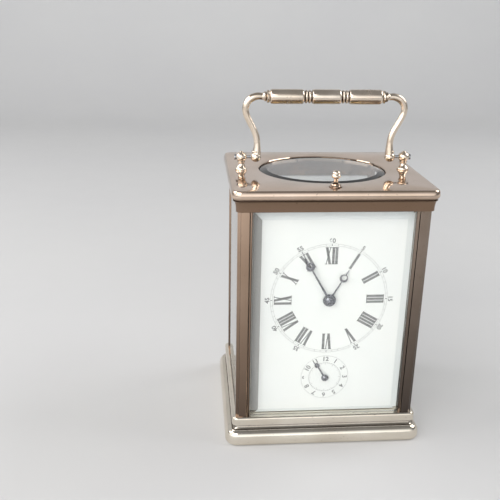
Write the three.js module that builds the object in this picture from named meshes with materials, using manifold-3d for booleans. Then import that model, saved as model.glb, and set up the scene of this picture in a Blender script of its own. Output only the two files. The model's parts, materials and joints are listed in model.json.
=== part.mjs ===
// A brass carriage clock with an alarm: a glazed rectangular case with a folding handle, a white
// dial with three hands, and a movement with two barrels, a platform escapement and a gong.
// Millimetres, +Z up. The dial faces -Y. The origin is the middle of the base's underside.
import * as THREE from 'three';
import { mergeVertices } from 'three/addons/utils/BufferGeometryUtils.js';
import Module from 'manifold-3d';

const wasm = await Module();
wasm.setup();

// ---- driving dimensions ----
const GAP = 0.3;               // clearance between pieces that touch
const BASE_HALF_X = 50.7;
const BASE_HALF_Y = 44;
const BASE_TOP = 15.2;
const BASE_NOSE_TOP = 7;       // top of the base's rounded lower moulding
const CORNICE_HALF_X = 48.6;
const CORNICE_HALF_Y = 43;
const CORNICE_BOTTOM = 123.7;
const CORNICE_TOP = 134;
const CORNICE_NOSE = 4.4;      // height of the cornice's rounded upper moulding
const CORNER_RADIUS = 4.5;     // plan radius of the mouldings' corners
const BODY_HALF_X = 45.5;      // outer faces of the corner pillars
const BODY_HALF_Y = 40.5;
const PILLAR = 7;              // width of a square corner pillar
const FLUTE = 1.5;             // radius of the flute along a pillar's outer corner
const GLASS = 2;               // pane thickness
const GLASS_SETBACK = 0.6;     // panes behind the pillars' outer faces
const OVAL_HALF_X = 31;        // opening in the top
const OVAL_HALF_Y = 28;
const OVAL_Y = 1.5;
const OVAL_REBATE = 1.2;       // ledge that the top glass lies on
const DIAL_FRONT = -34.5;
const DIAL_THICK = 1.3;
const DIAL_Z = 77.3;           // height of the hands' centre
const ALARM_Z = 34.2;          // height of the alarm dial's centre
const PIVOT_Z = 140.5;         // the handle turns about this height
const PIVOT_X = 34.7;          // ball feet of the handle
const POST_X = 41.5;
const GRIP_Z = 170.4;
const GRIP_RADIUS = 3.7;
const GRIP_HALF = 28;
const BUTTON_Y = -34.6;
const PLATE_FRONT = -26;       // front face of the movement's front plate
const PLATE_BACK = 18.4;       // back face of its back plate
const PLATE = 2.2;             // plate thickness
const PLATE_HALF_X = 34;
const PLATE_BOTTOM = 19;
const PLATE_TOP = 109;
const BARREL = { x: -15.5, z: 62, drum: 16, wheel: 19 };
const STRIKE = { x: 18.5, z: 40.5, drum: 13.8, wheel: 16.4 };
const ALARM_BARREL = { x: -11, z: 31, drum: 8 };
const THIRD = { x: 11.5, z: 86.7, radius: 9.9 };
const CONTRATE = { x: 1.6, z: 94, radius: 8 };
const ESCAPE = { x: 1.6, y: -9.5 };
const BALANCE = { x: -3.5, y: 4.5 };
const PLATFORM_Z = 109.6;
const GONG_Z = 52;             // the gong's middle
const GONG_Y = 27;
const GONG_WIRE = 0.75;        // radius of the gong's wire
const ARBOR = 0.8;             // radius of the movement's arbors
const STRIKE_SECOND = { x: 24.5, z: 68.5, radius: 9.2 };
const FLY = { x: 25, z: 92.5, vane: 5.4 };
const MINUTE_WHEEL = { x: 8.1, z: DIAL_Z + 6.8 };
const LEVER = { x: -1.2, y: -3.4 };
const HAMMER_PIVOT = { x: -31, z: 92 };
const HAMMER_HEAD = { x: -35.4, z: 60 };
const GONG_INNER = 27;         // radii of the gong's first and last turn
const GONG_OUTER = 32.4;
const HOUR_ANGLE = 29.4;       // clockwise from twelve: five minutes to one
const MINUTE_ANGLE = -30;
const ALARM_ANGLE = -31;
const DOOR_PIN = { x: 36.6, y: 39.2 };
const DOOR_HALF_X = 37.7;
const DOOR_RIM = 4;            // width of the rear door's frame
const SCREW_RECESS = 2.5;      // sinkings for the screws that hold the pillars down

// ---- places that follow from them ----
const PILLAR_X = BODY_HALF_X - PILLAR / 2;
const PILLAR_Y = BODY_HALF_Y - PILLAR / 2;
const PANE_LOW = BASE_TOP + GAP;
const PANE_HIGH = CORNICE_BOTTOM - GAP;
const PANE_X = BODY_HALF_X - PILLAR - GAP;
const PANE_Y = BODY_HALF_Y - PILLAR - GAP;
const SHAFT = [PLATE_FRONT + 0.4, PLATE_BACK - 0.2];   // arbors run from plate to plate

const BRASS = { color: 0xc9b183, roughness: 0.25, metalness: 1 };
const STEEL = { color: 0x9aa0a6, roughness: 0.3, metalness: 1 };
const BLUED = { color: 0x23262e, roughness: 0.35, metalness: 1 };
const CLEAR = { color: 0xdfe8ea, roughness: 0.03, metalness: 0, transparent: true, opacity: 0.25 };
const ENAMEL = { color: 0xf7f7f5, roughness: 0.15, metalness: 0 };

const clock = new THREE.Group();

function add(name, geometry, finish) {
  const mesh = new THREE.Mesh(geometry, new THREE.MeshStandardMaterial(finish));
  mesh.name = name;
  clock.add(mesh);
}

// ---- solids ----
function solid(geometry) {
  const bare = geometry.clone();
  bare.deleteAttribute('normal');
  bare.deleteAttribute('uv');
  const merged = mergeVertices(bare, 1e-4);
  const mesh = new wasm.Mesh({
    numProp: 3,
    vertProperties: Float32Array.from(merged.attributes.position.array),
    triVerts: Uint32Array.from(merged.index.array),
  });
  return new wasm.Manifold(mesh);
}

function geometryOf(body) {
  const mesh = body.getMesh();
  const geometry = new THREE.BufferGeometry();
  geometry.setAttribute('position', new THREE.Float32BufferAttribute(mesh.vertProperties, 3));
  geometry.setIndex(new THREE.Uint32BufferAttribute(mesh.triVerts, 1));
  return geometry;
}

function fuse(...geometries) {
  return geometryOf(geometries.map(solid).reduce((whole, piece) => whole.add(piece)));
}

function cut(geometry, ...tools) {
  return geometryOf(tools.map(solid).reduce((whole, tool) => whole.subtract(tool), solid(geometry)));
}

// A box given by its lowest and highest corners.
function block(low, high) {
  const size = high.map((value, axis) => value - low[axis]);
  const middle = high.map((value, axis) => (value + low[axis]) / 2);
  return new THREE.BoxGeometry(...size).translate(...middle);
}

// A cylinder along Y from y0 to y1.
function rodY(x, z, radius, y0, y1, sides = 12) {
  return new THREE.CylinderGeometry(radius, radius, y1 - y0, sides).translate(x, (y0 + y1) / 2, z);
}

function rodX(y, z, radius, x0, x1, sides = 12) {
  const rod = new THREE.CylinderGeometry(radius, radius, x1 - x0, sides).rotateZ(Math.PI / 2);
  return rod.translate((x0 + x1) / 2, y, z);
}

function rodZ(x, y, radius, z0, z1, sides = 12) {
  const rod = new THREE.CylinderGeometry(radius, radius, z1 - z0, sides).rotateX(Math.PI / 2);
  return rod.translate(x, y, (z0 + z1) / 2);
}

// A turned piece standing on Z: profile points are [radius, height], from the axis back to it.
function turned(profile, sides = 16) {
  const points = profile.map(([radius, height]) => new THREE.Vector2(radius, height));
  return new THREE.LatheGeometry(points, sides).rotateX(Math.PI / 2);
}

function roundedRectangle(halfX, halfY, radius) {
  const shape = new THREE.Shape();
  shape.moveTo(halfX - radius, -halfY);
  shape.absarc(halfX - radius, -halfY + radius, radius, -Math.PI / 2, 0);
  shape.absarc(halfX - radius, halfY - radius, radius, 0, Math.PI / 2);
  shape.absarc(-halfX + radius, halfY - radius, radius, Math.PI / 2, Math.PI);
  shape.absarc(-halfX + radius, -halfY + radius, radius, Math.PI, Math.PI * 1.5);
  return shape;
}

// A level slab with rounded plan corners and edges rounded by bevel.
function slab(halfX, halfY, z0, z1, radius, bevel) {
  const shape = roundedRectangle(halfX - bevel, halfY - bevel, radius - bevel);
  const depth = z1 - z0 - 2 * bevel;
  const settings = {
    depth, curveSegments: 3, bevelEnabled: bevel > 0, bevelThickness: bevel, bevelSize: bevel,
    bevelSegments: 3,
  };
  return new THREE.ExtrudeGeometry(shape, settings).translate(0, 0, z0 + bevel);
}

function ovalPrism(halfX, halfY, z0, z1) {
  const shape = new THREE.Shape();
  shape.absellipse(0, 0, halfX, halfY, 0, Math.PI * 2);
  const settings = { depth: z1 - z0, bevelEnabled: false, curveSegments: 24 };
  return new THREE.ExtrudeGeometry(shape, settings).translate(0, OVAL_Y, z0);
}

// An outline in X and Z given thickness along Y, with its front face at y0.
function plateY(shape, y0, thickness, segments = 6) {
  const settings = { depth: thickness, bevelEnabled: false, curveSegments: segments };
  return new THREE.ExtrudeGeometry(shape, settings).rotateX(Math.PI / 2).translate(0, y0 + thickness, 0);
}

// Points of an arc, both ends included.
function arc(x, z, radius, from, to, steps) {
  return Array.from({ length: steps + 1 }, (_, i) => {
    const angle = from + ((to - from) * i) / steps;
    return new THREE.Vector2(x + radius * Math.cos(angle), z + radius * Math.sin(angle));
  });
}

function circle(x, z, radius, sides = 12) {
  return new THREE.Shape(arc(x, z, radius, 0, Math.PI * 2, sides).slice(0, sides));
}

// A rod of round section bent along a list of points.
function bentRod(points, radius, steps, sides) {
  const settings = { steps, bevelEnabled: false, extrudePath: new THREE.CatmullRomCurve3(points) };
  return new THREE.ExtrudeGeometry(circle(0, 0, radius, sides), settings);
}

// A wheel with crossings (spokes), lying across Y.
function wheelShape(x, z, radius, spokes, rim, hub) {
  const shape = circle(x, z, radius, 36);
  const halfSpoke = 0.18;
  for (let i = 0; i < spokes; i += 1) {
    const from = (i * 2 * Math.PI) / spokes + halfSpoke;
    const to = ((i + 1) * 2 * Math.PI) / spokes - halfSpoke;
    const outer = arc(x, z, radius - rim, from, to, 5);
    const inner = arc(x, z, hub, to - halfSpoke, from + halfSpoke, 2);
    shape.holes.push(new THREE.Path([...outer, ...inner]));
  }
  return shape;
}

// ---- case ----
function base() {
  const nose = slab(BASE_HALF_X, BASE_HALF_Y, 0.5, BASE_NOSE_TOP, CORNER_RADIUS + 1, 2.6);
  const foot = slab(BASE_HALF_X - 1.8, BASE_HALF_Y - 1.8, 0, 1.5, CORNER_RADIUS, 0);
  const cove = slab(BODY_HALF_X + 2, BODY_HALF_Y + 2, 6, 9.6, CORNER_RADIUS, 0);
  const neck = slab(BODY_HALF_X + 0.9, BODY_HALF_Y + 0.9, 6, BASE_TOP, CORNER_RADIUS - 1, 0);
  const doorPin = rodZ(DOOR_PIN.x, DOOR_PIN.y, 1.1, BASE_TOP - 2.4, BASE_TOP + 1);
  const screwRecesses = [-1, 1].flatMap((sideX) => [-1, 1].map(
    (sideY) => rodZ(sideX * PILLAR_X, sideY * PILLAR_Y, SCREW_RECESS, -1, 2.2, 12)));
  add('base', cut(fuse(nose, foot, cove, neck), doorPin, ...screwRecesses), BRASS);
}

function cornice() {
  const nose = slab(CORNICE_HALF_X, CORNICE_HALF_Y, CORNICE_TOP - CORNICE_NOSE, CORNICE_TOP,
    CORNER_RADIUS, 1.9);
  const neck = slab(BODY_HALF_X + 0.9, BODY_HALF_Y + 0.9, CORNICE_BOTTOM, CORNICE_TOP - 1.5,
    CORNER_RADIUS - 1, 0);
  const cove = slab(BODY_HALF_X + 2, BODY_HALF_Y + 1.7, CORNICE_TOP - 7, CORNICE_TOP - 1.5,
    CORNER_RADIUS, 0);
  const hollow = slab(36, 33, CORNICE_BOTTOM - 1, CORNICE_TOP - 4, 3, 0);
  const opening = ovalPrism(OVAL_HALF_X, OVAL_HALF_Y, CORNICE_BOTTOM, CORNICE_TOP + 1);
  const rebate = ovalPrism(OVAL_HALF_X + OVAL_REBATE, OVAL_HALF_Y + OVAL_REBATE,
    CORNICE_TOP - GLASS - GAP, CORNICE_TOP + 1);
  const doorPin = rodZ(DOOR_PIN.x, DOOR_PIN.y, 1.1, CORNICE_BOTTOM - 1, CORNICE_BOTTOM + 2.4);
  const buttonHole = rodZ(0, BUTTON_Y, 1.3, CORNICE_BOTTOM - 1, CORNICE_TOP + 3);
  const buttonBush = turned([[0, -1], [2.7, -1], [2.7, 0.6], [2, 1.4], [0, 1.4]], 16);
  const postHoles = [-1, 1].map((side) => rodZ(side * POST_X, 0, 1.3, CORNICE_TOP - 4, CORNICE_TOP + 1));
  const whole = fuse(nose, neck, cove, buttonBush.translate(0, BUTTON_Y, CORNICE_TOP));
  add('cornice', cut(whole, hollow, opening, rebate, doorPin, buttonHole, ...postHoles), BRASS);
}

// A square pillar with a flute along its outer corner.
function pillar(sideX, sideY) {
  const shape = new THREE.Shape();
  shape.moveTo(0, 0);
  shape.lineTo(PILLAR, 0);
  shape.lineTo(PILLAR, PILLAR - FLUTE);
  shape.absarc(PILLAR, PILLAR, FLUTE, -Math.PI / 2, -Math.PI, true);
  shape.lineTo(0, PILLAR);
  shape.closePath();
  const z0 = BASE_TOP + GAP;
  const settings = { depth: CORNICE_BOTTOM - GAP - z0, bevelEnabled: false, curveSegments: 4 };
  const quarter = { '1,1': 0, '-1,1': 1, '-1,-1': 2, '1,-1': 3 }[`${sideX},${sideY}`];
  const post = new THREE.ExtrudeGeometry(shape, settings).translate(-PILLAR / 2, -PILLAR / 2, z0);
  return post.rotateZ((quarter * Math.PI) / 2).translate(sideX * PILLAR_X, sideY * PILLAR_Y, 0);
}

function pillars() {
  for (const [sideY, depthName] of [[-1, 'front'], [1, 'rear']]) {
    for (const [sideX, sideName] of [[-1, 'left'], [1, 'right']]) {
      add(`pillar_${depthName}_${sideName}`, pillar(sideX, sideY), BRASS);
    }
  }
}

function panes() {
  const front = -BODY_HALF_Y + GLASS_SETBACK;
  const side = BODY_HALF_X - GLASS_SETBACK;
  add('glass_front', block([-PANE_X, front, PANE_LOW], [PANE_X, front + GLASS, PANE_HIGH]), CLEAR);
  add('glass_left', block([-side, -PANE_Y, PANE_LOW], [-side + GLASS, PANE_Y, PANE_HIGH]), CLEAR);
  add('glass_right', block([side - GLASS, -PANE_Y, PANE_LOW], [side, PANE_Y, PANE_HIGH]), CLEAR);
  const ledge = OVAL_REBATE - GAP;
  const oval = ovalPrism(OVAL_HALF_X + ledge, OVAL_HALF_Y + ledge, CORNICE_TOP - GLASS, CORNICE_TOP - 0.1);
  add('glass_top', oval, CLEAR);
}

// The rear door turns on two stub pins, and its frame has rounded hinge-side edges.
function rearDoor() {
  const halfX = DOOR_HALF_X;
  const rim = DOOR_RIM;
  const [y0, y1] = [38, 40.4];
  const [z0, z1] = [PANE_LOW + 0.3, PANE_HIGH - 0.3];
  const outer = block([-halfX, y0, z0], [halfX, y1, z1]);
  const opening = block([-halfX + rim, y0 - 1, z0 + rim], [halfX - rim, y1 + 1, z1 - rim]);
  const rebate = block([-halfX + rim - 1.2, y0 - 1, z0 + rim - 1.2],
    [halfX - rim + 1.2, y0 + 1.6, z1 - rim + 1.2]);
  const lowPin = rodZ(DOOR_PIN.x, DOOR_PIN.y, 0.7, BASE_TOP - 1.6, z0 + 1, 10);
  const highPin = rodZ(DOOR_PIN.x, DOOR_PIN.y, 0.7, z1 - 1, CORNICE_BOTTOM + 1.6, 10);
  const knobHole = rodY(-halfX + rim / 2, DIAL_Z, 0.9, y0 - 1, y1 + 1, 8);
  add('rear_door_frame', fuse(cut(outer, opening, rebate, knobHole), lowPin, highPin), BRASS);
  add('glass_rear_door', block([-halfX + rim - 0.9, y0 - 0.2, z0 + rim - 0.9],
    [halfX - rim + 0.9, y0 + 1.3, z1 - rim + 0.9]), CLEAR);
  const stem = rodY(-halfX + rim / 2, DIAL_Z, 0.6, y0 + 0.4, y1 + 1.2, 8);
  const knob = new THREE.SphereGeometry(1.7, 12, 8).translate(-halfX + rim / 2, y1 + 1.8, DIAL_Z);
  add('rear_door_knob', fuse(stem, knob), BRASS);
}

// ---- handle, posts and button ----
function handlePost(side) {
  const profile = [
    [0, -3.5], [1, -3.5], [1, 0.35], [3, 0.35], [3, 1.1], [2.2, 1.9], [1.6, 3.2],
    [2.2, 4.4], [2.85, 6.5], [2.2, 8.4], [1, 9.3], [0, 9.5],
  ];
  const post = turned(profile, 16).translate(side * POST_X, 0, CORNICE_TOP);
  const bore = rodX(0, PIVOT_Z, 1, side * POST_X - 4, side * POST_X + 4, 10);
  return cut(post, bore);
}

function pivotScrew(side) {
  const inner = side * (PIVOT_X + 0.2);
  const outer = side * (POST_X + 3.2);
  const [low, high] = [Math.min(inner, outer), Math.max(inner, outer)];
  const shank = rodX(0, PIVOT_Z, 0.7, low, high, 10);
  const headLow = Math.min(outer, outer - side * 0.5);
  return fuse(shank, rodX(0, PIVOT_Z, 1.4, headLow, headLow + 0.5, 12));
}

// One curved arm: a ball foot, a stem that swells outward, and a shoulder that meets the grip.
function handleArm(side) {
  const points = [
    [33.9, 141.9], [33.7, 145], [33.9, 149.5], [35.2, 153.6], [37.5, 158], [39.4, 162.2],
    [39.5, 165.8], [37.6, 169], [34.2, 170.3], [31, GRIP_Z], [GRIP_HALF + GAP, GRIP_Z],
  ].map(([x, z]) => new THREE.Vector3(side * x, 0, z));
  const stem = bentRod(points, 1.75, 24, 10);
  const ball = new THREE.SphereGeometry(2.6, 14, 10).translate(side * PIVOT_X, 0, PIVOT_Z);
  const bore = rodX(0, PIVOT_Z, 1, Math.min(side * (PIVOT_X - 0.2), side * (PIVOT_X + 4)),
    Math.max(side * (PIVOT_X - 0.2), side * (PIVOT_X + 4)), 10);
  const collar = rodX(0, GRIP_Z, 2.5, Math.min(side * (GRIP_HALF + GAP), side * (GRIP_HALF + 2)),
    Math.max(side * (GRIP_HALF + GAP), side * (GRIP_HALF + 2)), 14);
  return cut(fuse(stem, ball, collar), bore);
}

// The grip is one turned bar: three plain barrels parted by two beaded collars.
function handleGrip() {
  const barrel = GRIP_RADIUS;
  const half = [
    [barrel, 0], [barrel, 6.9], [2.6, 7.2], [2.6, 7.9], [3.2, 8.4], [3.2, 10],
    [2.6, 10.5], [2.6, 11.2], [barrel, 11.5], [barrel, 27.5], [barrel - 0.5, GRIP_HALF], [0, GRIP_HALF],
  ];
  const mirrored = half.slice(1).reverse().map(([radius, along]) => [radius, -along]);
  const profile = [...mirrored, ...half];
  return turned(profile, 18).rotateY(Math.PI / 2).translate(0, 0, GRIP_Z);
}

function handle() {
  for (const [side, name] of [[-1, 'left'], [1, 'right']]) {
    add(`handle_post_${name}`, handlePost(side), BRASS);
    add(`handle_pivot_screw_${name}`, pivotScrew(side), STEEL);
    add(`handle_arm_${name}`, handleArm(side), BRASS);
  }
  add('handle_grip', handleGrip(), BRASS);
}

function repeatButton() {
  const profile = [
    [0, -7.8], [1, -7.8], [1, 4.6], [1.9, 5.2], [2.1, 6.2], [1.4, 7.4], [0, 7.8],
  ];
  add('repeat_button', turned(profile, 16).translate(0, BUTTON_Y, CORNICE_TOP), BRASS);
}

// ---- dial and hands ----
function dial() {
  const shape = new THREE.Shape();
  shape.moveTo(-PANE_X, PANE_LOW);
  shape.lineTo(PANE_X, PANE_LOW);
  shape.lineTo(PANE_X, PANE_HIGH);
  shape.lineTo(-PANE_X, PANE_HIGH);
  shape.closePath();
  shape.holes.push(circle(0, DIAL_Z, 2.6));
  shape.holes.push(circle(0, ALARM_Z, 1.3));
  add('dial', plateY(shape, DIAL_FRONT, DIAL_THICK), ENAMEL);
  const feet = [[30, 28], [-30, 104]];
  feet.forEach(([x, z], i) => {
    add(`dial_foot_${i + 1}`, rodY(x, z, 1.5, DIAL_FRONT + DIAL_THICK + GAP, PLATE_FRONT - GAP, 10), BRASS);
  });
}

// A hand lying across Y: a tapering bar with a ring (moon) part of the way along and a fine tip.
function moonHand(length, moonAt, moonRadius, bar, hubRadius, bore) {
  const shape = new THREE.Shape();
  const half = bar / 2;
  const spread = Math.asin(half / hubRadius);
  shape.absarc(0, 0, hubRadius, Math.PI / 2 + spread, Math.PI / 2 - spread + Math.PI * 2, false);
  const lower = Math.asin(half / moonRadius);
  shape.absarc(0, moonAt, moonRadius, -Math.PI / 2 + lower, Math.PI / 2 - lower, false);
  shape.lineTo(half * 0.4, length);
  shape.lineTo(-half * 0.4, length);
  shape.absarc(0, moonAt, moonRadius, Math.PI / 2 + lower, Math.PI * 1.5 - lower, false);
  shape.closePath();
  const moon = new THREE.Path();
  moon.absarc(0, moonAt + moonRadius * 0.15, moonRadius * 0.58, 0, Math.PI * 2);
  shape.holes.push(moon);
  shape.holes.push(circle(0, 0, bore));
  return shape;
}

function placedHand(shape, front, thickness, clockwiseDegrees, z) {
  const hand = plateY(shape, front, thickness, 6);
  return hand.rotateY((clockwiseDegrees * Math.PI) / 180).translate(0, 0, z);
}

function hands() {
  const hour = moonHand(18.2, 13, 2.1, 0.7, 3.2, 2.2);
  add('hour_hand', placedHand(hour, -35.7, 0.5, HOUR_ANGLE, DIAL_Z), BLUED);
  const minute = moonHand(30, 20.5, 2.1, 1, 2.8, 1.5);
  add('minute_hand', placedHand(minute, -36.6, 0.5, MINUTE_ANGLE, DIAL_Z), BLUED);
  const alarm = moonHand(9.8, 8.4, 1.2, 0.8, 1.8, 0.8);
  add('alarm_hand', placedHand(alarm, -35.6, 0.4, ALARM_ANGLE, ALARM_Z), BLUED);
  const collet = new THREE.CylinderGeometry(1.6, 2.2, 0.6, 16).rotateX(Math.PI);
  add('hand_collet', cut(collet.translate(0, -37.2, DIAL_Z), rodY(0, DIAL_Z, 0.9, -39, -35, 10)), BRASS);
}

// ---- motion work, behind the dial ----
function motionWork() {
  const pipe = cut(rodY(0, DIAL_Z, 1.9, -36, -28.4, 16), rodY(0, DIAL_Z, 1.5, -37, -27, 16));
  const hourDisc = plateY(wheelShape(0, DIAL_Z, 7.5, 4, 1.6, 3), -29.4, 0.8);
  const hourDiscBored = cut(hourDisc, rodY(0, DIAL_Z, 1.6, -31, -27, 16));
  add('hour_wheel', fuse(hourDiscBored, pipe), BRASS);
  const cannon = rodY(0, DIAL_Z, 1.2, -36.9, -27.2, 14);
  const leaves = rodY(0, DIAL_Z, 2.3, -28, -26.4, 14);
  add('cannon_pinion', cut(fuse(cannon, leaves), rodY(0, DIAL_Z, 0.95, -39, -25, 12)), STEEL);
  const { x, z } = MINUTE_WHEEL;
  const disc = plateY(wheelShape(x, z, 7.8, 4, 1.6, 2.4), -28.1, 0.8);
  const pinion = rodY(x, z, 1.9, -30.2, -27.5, 12);
  add('minute_wheel', cut(fuse(disc, pinion), rodY(x, z, 1.1, -33, -25, 12)), BRASS);
}

// ---- movement ----
function movementPlate(front, name) {
  const shape = new THREE.Shape();
  shape.moveTo(-PLATE_HALF_X, PLATE_BOTTOM);
  shape.lineTo(PLATE_HALF_X, PLATE_BOTTOM);
  shape.lineTo(PLATE_HALF_X, PLATE_TOP);
  shape.lineTo(-PLATE_HALF_X, PLATE_TOP);
  shape.closePath();
  const arbors = [
    [BARREL.x, BARREL.z, 2.3], [STRIKE.x, STRIKE.z, 2.3], [ALARM_BARREL.x, ALARM_BARREL.z, 1.9],
    [0, DIAL_Z, 1.2], [0, ALARM_Z, 1.2], [THIRD.x, THIRD.z, 1.1], [CONTRATE.x, CONTRATE.z, 1.1],
    [STRIKE_SECOND.x, STRIKE_SECOND.z, 1.1], [FLY.x, FLY.z, 1.1],
  ];
  arbors.forEach(([x, z, radius]) => shape.holes.push(circle(x, z, radius)));
  add(name, plateY(shape, front, PLATE), BRASS);
}

function frame() {
  movementPlate(PLATE_FRONT, 'movement_front_plate');
  movementPlate(PLATE_BACK - PLATE, 'movement_back_plate');
  const posts = [[-30.5, 23], [30.3, 23], [-30.5, 105.3], [30.5, 105.3]];
  posts.forEach(([x, z], i) => {
    add(`movement_pillar_${i + 1}`,
      rodY(x, z, 2.3, PLATE_FRONT + PLATE + GAP, PLATE_BACK - PLATE - GAP, 14), BRASS);
  });
  add('movement_seat_front', block([-24, PLATE_FRONT, BASE_TOP + GAP],
    [24, PLATE_FRONT + 5, PLATE_BOTTOM - GAP]), BRASS);
  add('movement_seat_rear', block([-24, PLATE_BACK - 5, BASE_TOP + GAP],
    [24, PLATE_BACK, PLATE_BOTTOM - GAP]), BRASS);
}

// A spring barrel with its toothed great wheel and an arbor whose square end takes the key.
function barrel(place, drumY, wheelY, arborRadius, square) {
  const drum = rodY(place.x, place.z, place.drum, drumY[0], drumY[1], 36);
  const wheel = rodY(place.x, place.z, place.wheel, wheelY[0], wheelY[1], 44);
  const bore = rodY(place.x, place.z, arborRadius + 0.3, -40, 40, 14);
  const shaft = rodY(place.x, place.z, arborRadius, PLATE_FRONT + 0.4, PLATE_BACK + 1.4, 14);
  const half = square / 2;
  const key = block([place.x - half, PLATE_BACK, place.z - half],
    [place.x + half, PLATE_BACK + 11, place.z + half]);
  return { drum: cut(fuse(drum, wheel), bore), arbor: fuse(shaft, key) };
}

function barrels() {
  const going = barrel(BARREL, [-9, 12], [12, 14], 2, 2.7);
  add('going_barrel', going.drum, BRASS);
  add('going_winding_arbor', going.arbor, STEEL);
  const strike = barrel(STRIKE, [-21, 5], [-23, -21], 2, 2.7);
  add('strike_barrel', strike.drum, BRASS);
  add('strike_winding_arbor', strike.arbor, STEEL);
  const alarmPlace = { ...ALARM_BARREL, wheel: 9.4 };
  const alarm = barrel(alarmPlace, [-2, 12], [-4, -2], 1.6, 2.1);
  add('alarm_barrel', fuse(rodY(alarmPlace.x, alarmPlace.z, 2, -3, 11, 12), alarm.drum, alarm.arbor), BRASS);
}

// A crossed wheel on an arbor with a pinion.
function trainWheel(place, wheelY, pinionY, pinionRadius, arborY) {
  const disc = plateY(wheelShape(place.x, place.z, place.radius, 4, 1.6, 2.4), wheelY[0],
    wheelY[1] - wheelY[0]);
  const pinion = rodY(place.x, place.z, pinionRadius, pinionY[0], pinionY[1], 12);
  const arbor = rodY(place.x, place.z, ARBOR, arborY[0], arborY[1], 8);
  return fuse(disc, pinion, arbor);
}

// The centre wheel turns on a pipe, and the arbor inside it carries the hands, held by friction.
function centreArbor() {
  const shaft = rodY(0, DIAL_Z, ARBOR, -37.4, PLATE_BACK + 3, 10);
  const square = block([-1.1, PLATE_BACK + 1, DIAL_Z - 1.1], [1.1, PLATE_BACK + 10, DIAL_Z + 1.1]);
  add('centre_arbor', fuse(shaft, square), STEEL);
}

function goingTrain() {
  const centre = { x: 0, z: DIAL_Z, radius: 12.4 };
  const centrePipe = rodY(0, DIAL_Z, 1.7, -15, 15.6, 12);
  add('centre_wheel', cut(fuse(trainWheel(centre, [-15, -13.8], [10.5, 15.6], 2.4, [-16, 15.8]), centrePipe),
    rodY(0, DIAL_Z, 1.1, -20, 20, 12)), BRASS);
  add('third_wheel', trainWheel(THIRD, [-19.6, -18.5], [-16.6, -12.4], 2, SHAFT), BRASS);
  const crown = cut(rodY(CONTRATE.x, CONTRATE.z, CONTRATE.radius, -9.2, -6.8, 32),
    rodY(CONTRATE.x, CONTRATE.z, CONTRATE.radius - 1, -10, -7.8, 32));
  const pinion = rodY(CONTRATE.x, CONTRATE.z, 2, -21, -17.2, 12);
  const arbor = rodY(CONTRATE.x, CONTRATE.z, ARBOR, SHAFT[0], SHAFT[1], 8);
  add('contrate_wheel', fuse(crown, pinion, arbor), BRASS);
}

function alarmSetting() {
  const shaft = rodY(0, ALARM_Z, 0.7, -35.9, PLATE_BACK + 4, 10);
  const square = block([-1, PLATE_BACK + 1, ALARM_Z - 1], [1, PLATE_BACK + 10, ALARM_Z + 1]);
  add('alarm_setting_arbor', fuse(shaft, square), STEEL);
}

function strikeTrain() {
  add('strike_second_wheel', trainWheel(STRIKE_SECOND, [-10, -8.9], [-22.8, -17.5], 2.2, SHAFT), BRASS);
  const vane = block([FLY.x - FLY.vane, 0, FLY.z - 0.35], [FLY.x + FLY.vane, 11, FLY.z + 0.35]);
  const pinion = rodY(FLY.x, FLY.z, 1.7, -12, -7, 10);
  add('strike_fly', fuse(vane, pinion, rodY(FLY.x, FLY.z, ARBOR, SHAFT[0], SHAFT[1], 8)), BRASS);
}

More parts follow.
